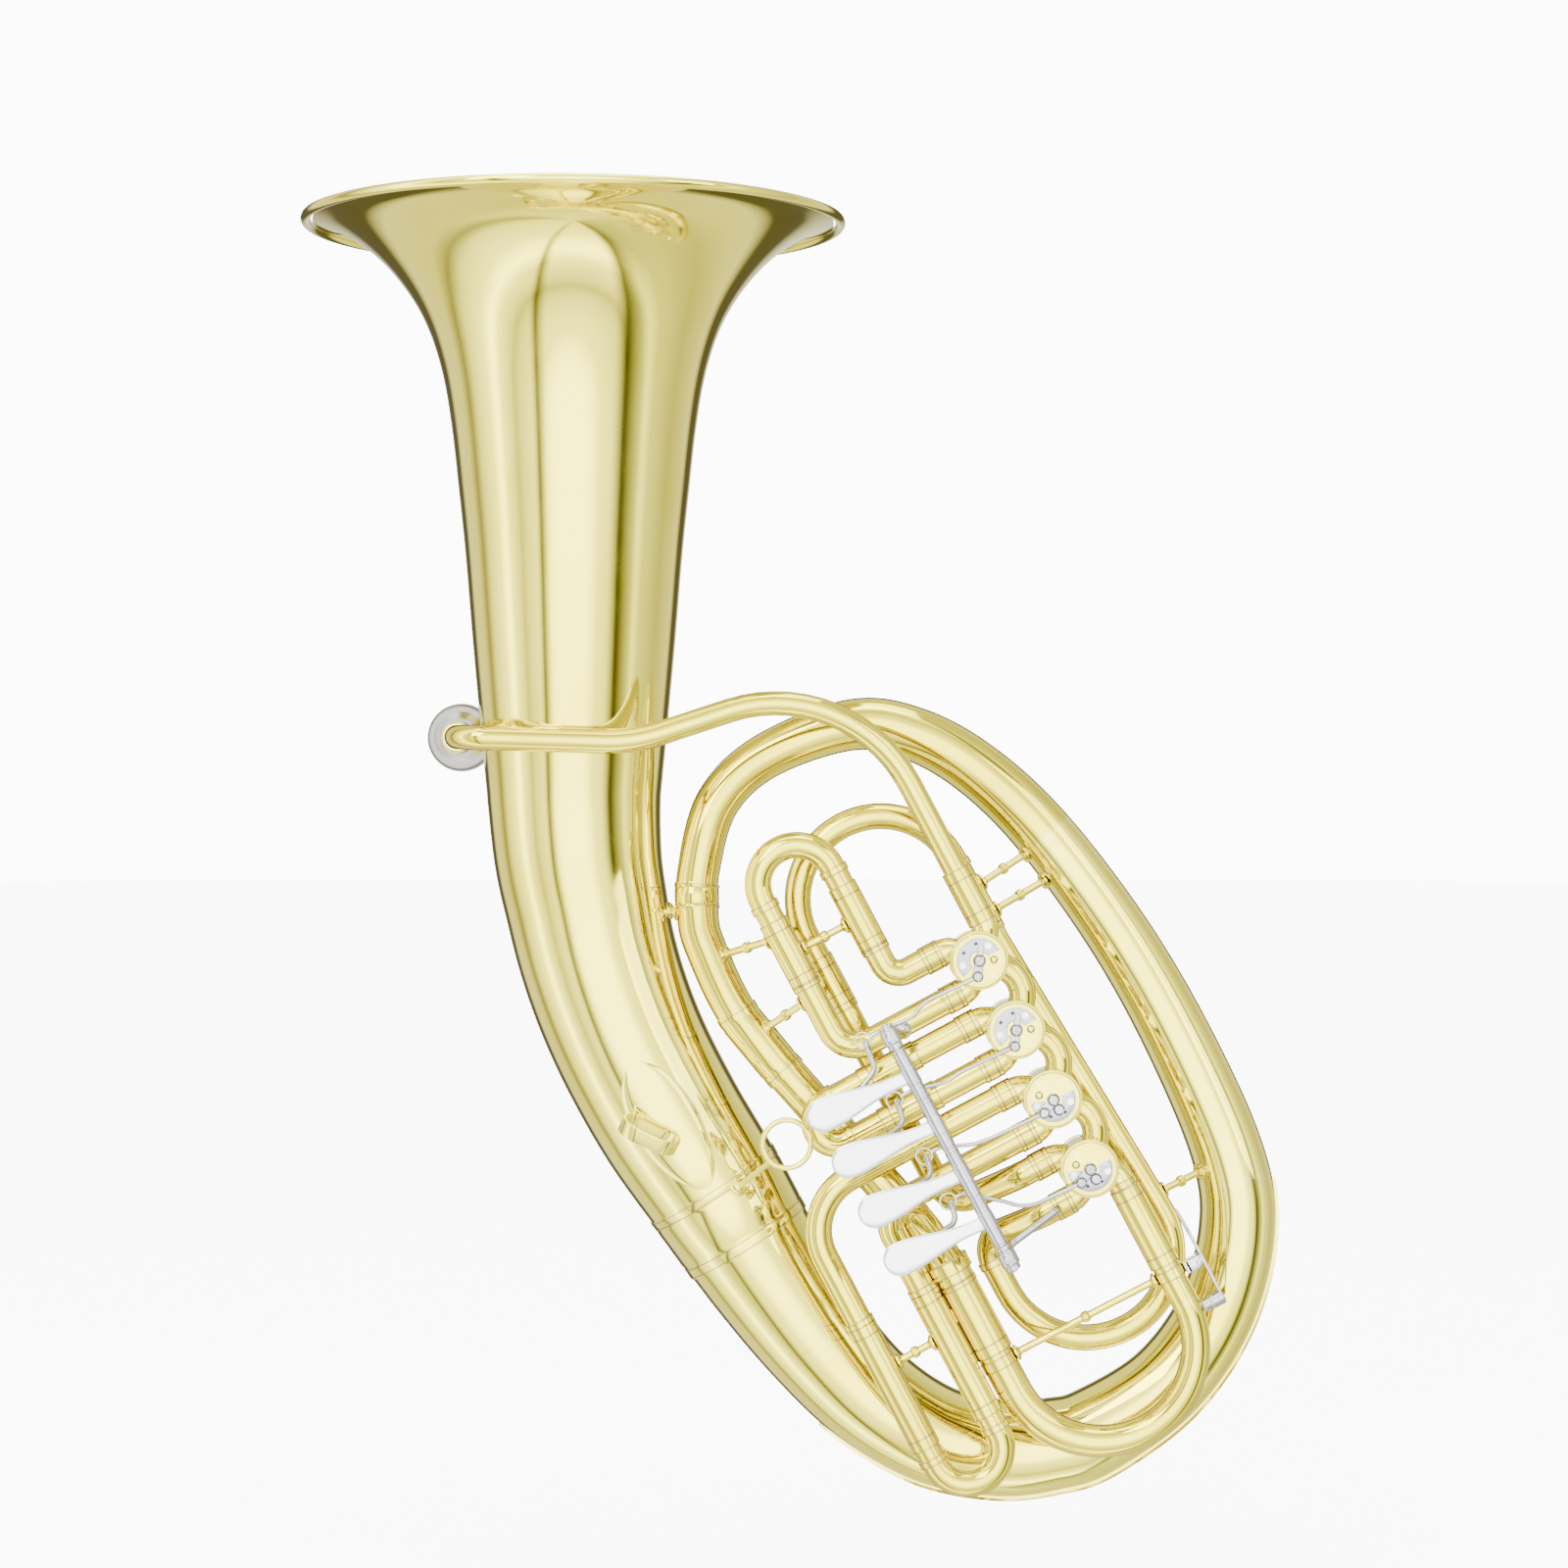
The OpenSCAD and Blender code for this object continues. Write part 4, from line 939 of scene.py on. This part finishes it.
def sleeve(shape, start, end, r=SLEEVE_R, inner=SLEEVE_BORE):
    band(shape, valve, start, end, r, inner)


def collar(shape, start, way, r=SLEEVE_R, length=4, inner=TUBE_BORE + 0.2):
    ferrule(shape, start, way, length, r, inner)


def port_sleeve(shape, v):
    """Sleeve on the short tube at a valve's port."""
    sleeve(shape, (PORT_END - 0.6, v, 0), (STUB_END - 1, v, 0), SLEEVE_R - 0.1, TUBE_BORE + 0.2)


def stub(shape, v):
    tube(shape, [(PORT_END, v, 0), (STUB_END, v, 0)], [])
    port_sleeve(shape, v)


def crook(number, p, q, d, length):
    """Bow of a valve slide: two legs along d joined by a half circle."""
    p, q, d = Vector(p), Vector(q), Vector(d)
    r = (q - p).length / 2
    shape = Shape()
    tube(shape, [p, p + d * (length + r), q + d * (length + r), q], [r, r])
    for s in (p, q):
        collar(shape, s + d * (length - 5), d)
    name = "slide_%d_" % number
    tube_brass_painted_shade(name + "bow", shape, [name + "crook"], name + "body")


def slide_1():
    shape = Shape()
    for k, u in enumerate(SLIDE_1_U):
        v = (2 * k - 1) * PORT_OFF
        stub(shape, v)
        tube(shape, [(STUB_END, v, 0), (u, v, 0), (u, -28, 0)], [9 + 5 * k])
        sleeve(shape, (u, -29, 0), (u, SLIDE_1_END, 0))
        collar(shape, (u, -27, 0), (0, -1, 0))
    tube_brass_painted_shade("slide_1_outer", shape, ["slide_1_tubes"])
    crook(1, (SLIDE_1_U[0], -36, 0), (SLIDE_1_U[1], -36, 0), (0, -1, 0), 40)


def slide_2():
    shape = Shape()
    v = ROW[1]
    for k in (-1, 1):
        x = v + k * PORT_OFF
        tube(shape, [(PORT_END, x, 0), (52, x, 0)], [])
        sleeve(shape, (49, x, 0), (SLIDE_2_END, x, 0))
        port_sleeve(shape, x)
    tube_brass_painted_shade("slide_2_outer", shape, ["slide_2_tubes"])
    crook(2, (55, v - PORT_OFF, 0), (55, v + PORT_OFF, 0), (1, 0, 0), 46)


def slide_3():
    shape = Shape()
    for k, u in enumerate(SLIDE_3_U):
        v = ROW[2] + (1 - 2 * k) * PORT_OFF
        stub(shape, v)
        tube(shape, [(STUB_END, v, 0), (u, v, 0), (u, 134, 0)], [14 + 16 * k])
        sleeve(shape, (u, 135, 0), (u, SLIDE_3_END, 0))
        collar(shape, (u, 132, 0), (0, 1, 0))
    tube_brass_painted_shade("slide_3_outer", shape, ["slide_3_tubes"])
    crook(3, (SLIDE_3_U[0], 143, 0), (SLIDE_3_U[1], 143, 0), (0, 1, 0), 72)


def slide_4():
    up_v, low_v = ROW[3] - PORT_OFF, ROW[3] + PORT_OFF
    down_u, foot_v = 65.1, 203.4
    shape = Shape()
    stub(shape, up_v)
    stub(shape, low_v)
    short = [(STUB_END, up_v, 0), (32, up_v, 0), (LOOP_U[1], up_v, LOOP_W), (LOOP_U[1], -9, LOOP_W)]
    long = [(STUB_END, low_v, 0), (32, low_v, 0), (down_u, low_v, LOOP_W), (down_u, foot_v, LOOP_W),
            (-25.7, foot_v, LOOP_W), (LOOP_U[0], -2, LOOP_W), (LOOP_U[0], -9, LOOP_W)]
    tube(shape, short, [14, 14])
    tube(shape, long, [14, 14, 45, 42.8, 30])
    for u in LOOP_U:
        sleeve(shape, (u, -10, LOOP_W), (u, LOOP_END, LOOP_W))
        collar(shape, (u, -7, LOOP_W), (0, -1, 0))
    collar(shape, (down_u, 140, LOOP_W), (0, 1, 0))
    tube_brass_painted_shade("slide_4_loop", shape, ["slide_4_tubes"])
    crook(4, (LOOP_U[0], -15, LOOP_W), (LOOP_U[1], -15, LOOP_W), (0, -1, 0), 33.3)


# ---- Main tuning slide ----
MAIN_RIGHT = Vector((-PORT_OFF, 0, 0))
MAIN_LEFT = Vector((85.6, 0, -6))
MAIN_TOP, MAIN_END, CROOK_V = 133, 180, 201
THIN_R, THICK_R = 7, 9


def at_v(p, v):
    return Vector((p[0], v, p[2]))


def main_slide():
    shape = Shape()
    tube(shape, [at_v(MAIN_RIGHT, ROW[3] + PORT_END), at_v(MAIN_RIGHT, MAIN_TOP + 6)], [])
    sleeve(shape, at_v(MAIN_RIGHT, MAIN_TOP + 3), at_v(MAIN_RIGHT, MAIN_END), THIN_R + 0.9, THIN_R + 0.05)
    sleeve(shape, at_v(MAIN_LEFT, MAIN_TOP), at_v(MAIN_LEFT, MAIN_END), THICK_R + 1, THICK_R + 0.05)
    collar(shape, at_v(MAIN_LEFT, MAIN_TOP + 6), (0, 1, 0), THICK_R + 1.3, 3, THICK_R + 0.9)
    collar(shape, at_v(MAIN_LEFT, MAIN_TOP - 6), (0, 1, 0), THICK_R + 2.4, 7.5, THICK_R + 0.2)
    collar(shape, at_v(MAIN_RIGHT, ROW[3] + PORT_END - 0.5), (0, 1, 0), SLEEVE_R, 4)
    tube_brass_painted_shade("main_slide_outer", shape, ["main_slide_sleeves"])

    legs = Shape()
    for p, r, lift in ((MAIN_RIGHT, THIN_R, 0.7), (MAIN_LEFT, THICK_R, 0.4)):
        tube(legs, [at_v(p, 142), at_v(p, CROOK_V)], [], r)
        collar(legs, at_v(p, 182), (0, 1, 0), r + lift, 6, r - 0.3)
    a, b = at_v(MAIN_RIGHT, 185), at_v(MAIN_LEFT, 185)
    d = (b - a).normalized()
    stay(legs, a + d * (THIN_R + 0.8), b - d * (THICK_R + 0.4))
    tube_brass_painted_shade("main_slide_inner", legs, ["main_slide_legs"], "main_slide_body")

    middle, half = (MAIN_RIGHT + MAIN_LEFT) / 2, (MAIN_LEFT - MAIN_RIGHT) / 2
    steps = 60
    places, dirs, outer = [], [], []
    for k in range(steps + 1):
        a = math.pi * k / steps
        ahead = Vector((0, half.length * math.sin(a), 0))
        places.append(valve(at_v(middle, CROOK_V) - half * math.cos(a) + ahead))
        dirs.append(valve_dir((half.normalized() * math.sin(a) + Vector((0, math.cos(a), 0))).normalized()))
        outer.append(THIN_R + (THICK_R - THIN_R) * k / steps)
    bow = Shape().tube(places, dirs, outer, [r - TUBE_WALL for r in outer], 56)
    tube_brass_painted_shade("main_slide_crook", bow, ["main_slide_bow"], "main_slide_body")


# ---- Stays, rings and water key ----
def braces():
    """Stays between pieces: the places of both ends and how far the rod stops short of them."""
    shape = Shape()
    third = Vector((SLIDE_3_U[1], 184, -7.2))
    for p, q, cut_p, cut_q in (
            (to_valve((70, -15, 281)), (82, -56, 0), 10.5, TUBE_R + 0.6),
            (to_valve((93, -21, 242)), (82, -22, 0), 10.2, TUBE_R - 0.2),
            ((82, -46, 0), (43, -46, 0), 7.3, 7.3),
            ((-13.8, -31, LOOP_W), to_valve((244.5, 0, 342)), 7.3, 15.6),
            ((-13.8, -16, LOOP_W), to_valve((255, 0, 328)), 7.3, 16),
            ((-22.6, 150, LOOP_W), to_valve((337.5, 0, 178)), TUBE_R - 0.2, 18.7),
            ((SLIDE_3_U[0], 160, 0), (SLIDE_3_U[1], 160, 0), 7.3, 7.3),
            (third, third - Vector((0, 0, 12)), 0, 0)):
        p, q = Vector(p), Vector(q)
        d = (q - p).normalized()
        stay(shape, p + d * cut_p, q - d * cut_q)
    stay(shape, to_valve((23.1, -49.9, 391.6)), to_valve((19.9, -42.9, 391.6)), 3)
    stay(shape, to_valve((48.2, -5, 305)), to_valve((54.5, -9, 305)), 2.4)
    knob(shape, [(0, 0), (0.65, 0), (0.65, 7), (0, 7)], (95.3, 150, -2.6), (0, 1, 0), 24)
    tube_brass_painted_shade("stays", shape, ["braces"])


def thumb_ring():
    ring_r, wire_r = 12, 1.4
    centre = Vector((109.6, -57, 190.7))
    rings = []
    for a in round_angles(96):
        out = Vector((math.cos(a), 0, math.sin(a)))
        rings.append([seat(centre + out * (ring_r + wire_r * math.cos(b))
                           + Vector((0, wire_r * math.sin(b), 0)))
                      for b in round_angles(24)])
    shape = Shape().loft(rings, True)
    foot = Vector((84.7, -33.4, 166))
    way = Vector((10, -13, 12)).normalized()
    pipe(shape, seat, [foot, centre + Vector((-8, wire_r, -9))], [], 1.5, sides=24, direction=straight)
    profile = [(0, 0), (4.5, 0), (4.5, 0.5), (4.0, 1.2), (2.4, 1.7), (1.6, 2.6), (0, 2.6)]
    shape.lathe(profile, seat(foot), way, 40, False)
    brass("thumb_ring_piece", shape, ["thumb_ring"])


def strap_plate():
    """Leaf-shaped plate that carries the strap loop, thinner towards its edge."""
    def height(across, share):
        rim = min(1, min(across, 1 - across) * 8, max(0.1, min(share, 1 - share) * 12)) ** 0.5
        return 0.35 + 0.95 * rim

    shape = leaf_plate((5.95, 7.9), 60, 16, -90, 26, 1.5, 0.002, 0.05, height)
    brass("strap_plate_piece", shape, ["strap_plate"])


def strap_loop():
    """Oval band that stands on its plate, leaning 15 degrees."""
    lean = math.radians(15)
    half, r, wide, wall, corner = 5.7, 10, 7.8, 1.3, 0.5
    long_way = Vector((0.91, 0, -0.415)).normalized()
    outward = Vector((-0.415 * math.sin(lean), -math.cos(lean), -0.91 * math.sin(lean))).normalized()
    axis = long_way.cross(outward)
    centre = on_bore(6.86, -80, 0.9) + r * outward
    section = []
    for sx, sy, start in ((1, 1, 0), (-1, 1, 90), (-1, -1, 180), (1, -1, 270)):
        middle = (sx * (wall / 2 - corner), sy * (wide / 2 - corner))
        section += arc(corner, start, start + 90, 4, middle)
    rings = []
    for side, start in ((half, -90), (-half, 90)):
        for x, y in arc(1, start, start + 180, 32):
            rings.append([seat(centre + long_way * (side + x * (r - wall / 2 + a))
                               + outward * (y * (r - wall / 2 + a)) + axis * b) for a, b in section])
    brass("strap_loop_band", Shape().loft(rings, True), ["strap_loop"])


KEY_U, KEY_V = -27, 180


def water_key_saddle():
    shape = Shape()
    cheek = [(-2, 3), (6.6, 3), (6.6, 9), (1.5, 9), (-1, 8), (-2, 6.4)]
    for w in (-4.6, 3):
        slab(shape, cheek, (KEY_U, KEY_V, w), 0, 1.6)
    slab(shape, [(5, 3), (8, 3), (8, 9), (5, 9)], (KEY_U, KEY_V, -4.6), 0, 9.2, 0.4)
    screw(shape, (KEY_U, KEY_V + 6, 4.6), 1.9, 1.0, 40)
    knob(shape, [(0, 0), (1, 0), (1, 11.2), (0, 11.2)], (KEY_U, KEY_V + 6, -5.6), sides=24)
    nipple = [(2, 0), (3.4, 0), (3.4, 3.6), (2.9, 4.6), (2.2, 4.6), (2, 4.3)]
    knob(shape, nipple, (-22.6, 207.6, -0.4), (1, 0, 0), 40, True)
    nickel("water_key_seat", shape, ["water_key_saddle"], "main_slide_body")


def water_key():
    """Long narrow lever with its hub and the cup over the nipple."""
    rings = []
    length, steps = 52, 40
    for k in range(steps + 1):
        share = k / steps
        half = 1.5 + 1.3 * max(0, 1 - share * 4) ** 0.6 + 0.3 * max(0, share * 4 - 3)
        thick = 0.95
        if k in (0, steps):
            half, thick = half * 0.7, 0.5
        bow = 0.35 * math.sin(math.pi * share)
        rings.append([valve((KEY_U - 2 - bow + thick * math.copysign(abs(math.cos(a)) ** 0.6, math.cos(a)),
                             158 + length * share,
                             half * math.copysign(abs(math.sin(a)) ** 0.7, math.sin(a))))
                      for a in round_angles(24)])
    shape = Shape().loft(rings, False, (True, True))
    hub = [(1.06, 0), (2, 0), (2.2, 0.2), (2.2, 5.2), (2, 5.4), (1.06, 5.4)]
    knob(shape, hub, (KEY_U, KEY_V + 6, -2.7), close=True)
    slab(shape, [(-2, 4), (1, 4), (1, 8), (-2, 8)], (KEY_U, KEY_V, -1.6), 0, 3.2, 0.2)
    cup = [(0, 0), (3.3, 0), (3.9, 0.6), (3.9, 6.9), (3.6, 7.3), (0, 7.3)]
    knob(shape, cup, (KEY_U - 3, 207.6, -0.4), (1, 0, 0))
    nickel("water_key_lever", shape, ["water_key"], "water_key_body", 45)


bell()
bell_rim()
bow_guard()
main_bore()
leadpipe()
mouthpiece_receiver()
mouthpiece()
bearing_plates()
rear_caps()
casing_bands()
stop_plates()
stop_corks()
for index in range(4):
    stop_arm(index)
    link_rod(index)
    lever(index)
lever_shaft()
lever_posts()
slide_1()
slide_2()
slide_3()
slide_4()
main_slide()
braces()
thumb_ring()
strap_plate()
strap_loop()
water_key_saddle()
water_key()


# ---- Studio ----
# The floor in metres under the bow, which leaves room for the main slide when it is pulled
FLOOR_DROP = 0.06
CAMERA_PLACE = (0.1082, -1.803, (370.5 - HORN_H) * MM)
CAMERA_LENS = 80.26


def floor():
    """Wide pale disc, which the brass doesn't mirror."""
    radius, sides = 14, 96
    z = cad_low[2] - FLOOR_DROP
    edge = [(radius * math.cos(a), radius * math.sin(a), z) for a in round_angles(sides)]
    mesh = bpy.data.meshes.new("floor")
    mesh.from_pydata(edge, [], [tuple(range(sides))])
    obj = bpy.data.objects.new("floor", mesh)
    bpy.context.scene.collection.objects.link(obj)
    mat, tree, shader = new_material("floor_paint")
    patches = add(tree, "TexNoise", {"Scale": 3}).outputs["Fac"]
    tones = ramp(tree, patches, [(0.3, (0.93, 0.93, 0.93)), (0.7, (0.96, 0.96, 0.96))])
    feed(tree, shader, {"Base Color": tones, "Emission Color": tones, "Roughness": 0.85,
                        "Emission Strength": 8.5})
    mesh.materials.append(mat)
    obj.visible_glossy = False


def world():
    """White room; what the brass reflects has darker zones that draw its golden streaks and edges."""
    studio = bpy.data.worlds.new("studio")
    bpy.context.scene.world = studio
    studio.use_nodes = True
    tree = studio.node_tree
    way = add(tree, "TexCoord").outputs["Generated"]
    parts = add(tree, "SeparateXYZ", {"Vector": way}).outputs

    depth = add(tree, "MapRange", {"Value": parts["Y"], "From Min": -1}).outputs["Result"]
    hot, white, pale = (0.6,) * 3, (0.30,) * 3, (0.19,) * 3
    grey, dark = (0.125, 0.12, 0.108), (0.012, 0.011, 0.008)
    rings = ramp(tree, depth, [(0.0, hot), (0.02, hot), (0.06, white), (0.16, pale), (0.20, grey),
                               (0.23, pale), (0.30, white), (0.35, hot), (0.42, white), (0.54, pale),
                               (0.64, grey), (0.86, grey), (0.91, dark), (0.97, dark), (1.0, grey)])

    turn = add(tree, "Math", {0: parts["X"], 1: parts["Y"]}, operation="ARCTAN2").outputs["Value"]
    span = add(tree, "MapRange", {"Value": turn, "From Min": -math.pi, "From Max": math.pi})
    full, half, quarter, little = (1.0,) * 3, (0.6,) * 3, (0.35,) * 3, (0.06,) * 3
    bands = ramp(tree, span.outputs["Result"], [
        (0.0, full), (0.06, full), (0.085, little), (0.10, full), (0.27, full), (0.30, quarter),
        (0.33, full), (0.62, full), (0.72, half), (0.82, quarter), (0.86, little), (0.89, full), (1.0, full)])

    mirrored = add(tree, "Mix", {"Factor": 1, "A": rings, "B": bands}, data_type="RGBA",
                   blend_type="MULTIPLY")
    rays = add(tree, "LightPath").outputs["Is Camera Ray"]
    seen = add(tree, "Mix", {"Factor": rays, "A": mirrored.outputs["Result"], "B": (1, 1, 1, 1)},
               data_type="RGBA")
    feed(tree, tree.nodes["Background"], {"Color": seen.outputs["Result"], "Strength": 12})


def light(name, place, size, power):
    """Soft rectangle that faces the middle of the horn."""
    data = bpy.data.lights.new(name, "AREA")
    data.shape = "RECTANGLE"
    data.size, data.size_y = size
    data.energy = power
    obj = bpy.data.objects.new(name, data)
    obj.location = place
    obj.rotation_euler = (Vector((0.1, 0, -0.3)) - Vector(place)).to_track_quat("-Z", "Y").to_euler()
    bpy.context.scene.collection.objects.link(obj)


floor()
world()
light("key", (-1.2, -2.2, 1.3), (1.2, 1.6), 60)
light("fill", (2.0, -1.6, 0.6), (1.0, 1.8), 30)
light("top", (0.1, -0.2, 1.8), (1.6, 1.2), 30)

camera = bpy.data.cameras.new("camera")
camera.sensor_width = 36
camera.lens = CAMERA_LENS
view = bpy.data.objects.new("camera", camera)
view.location = CAMERA_PLACE
view.rotation_euler = (math.radians(90), 0, 0)
bpy.context.scene.collection.objects.link(view)
bpy.context.scene.camera = view
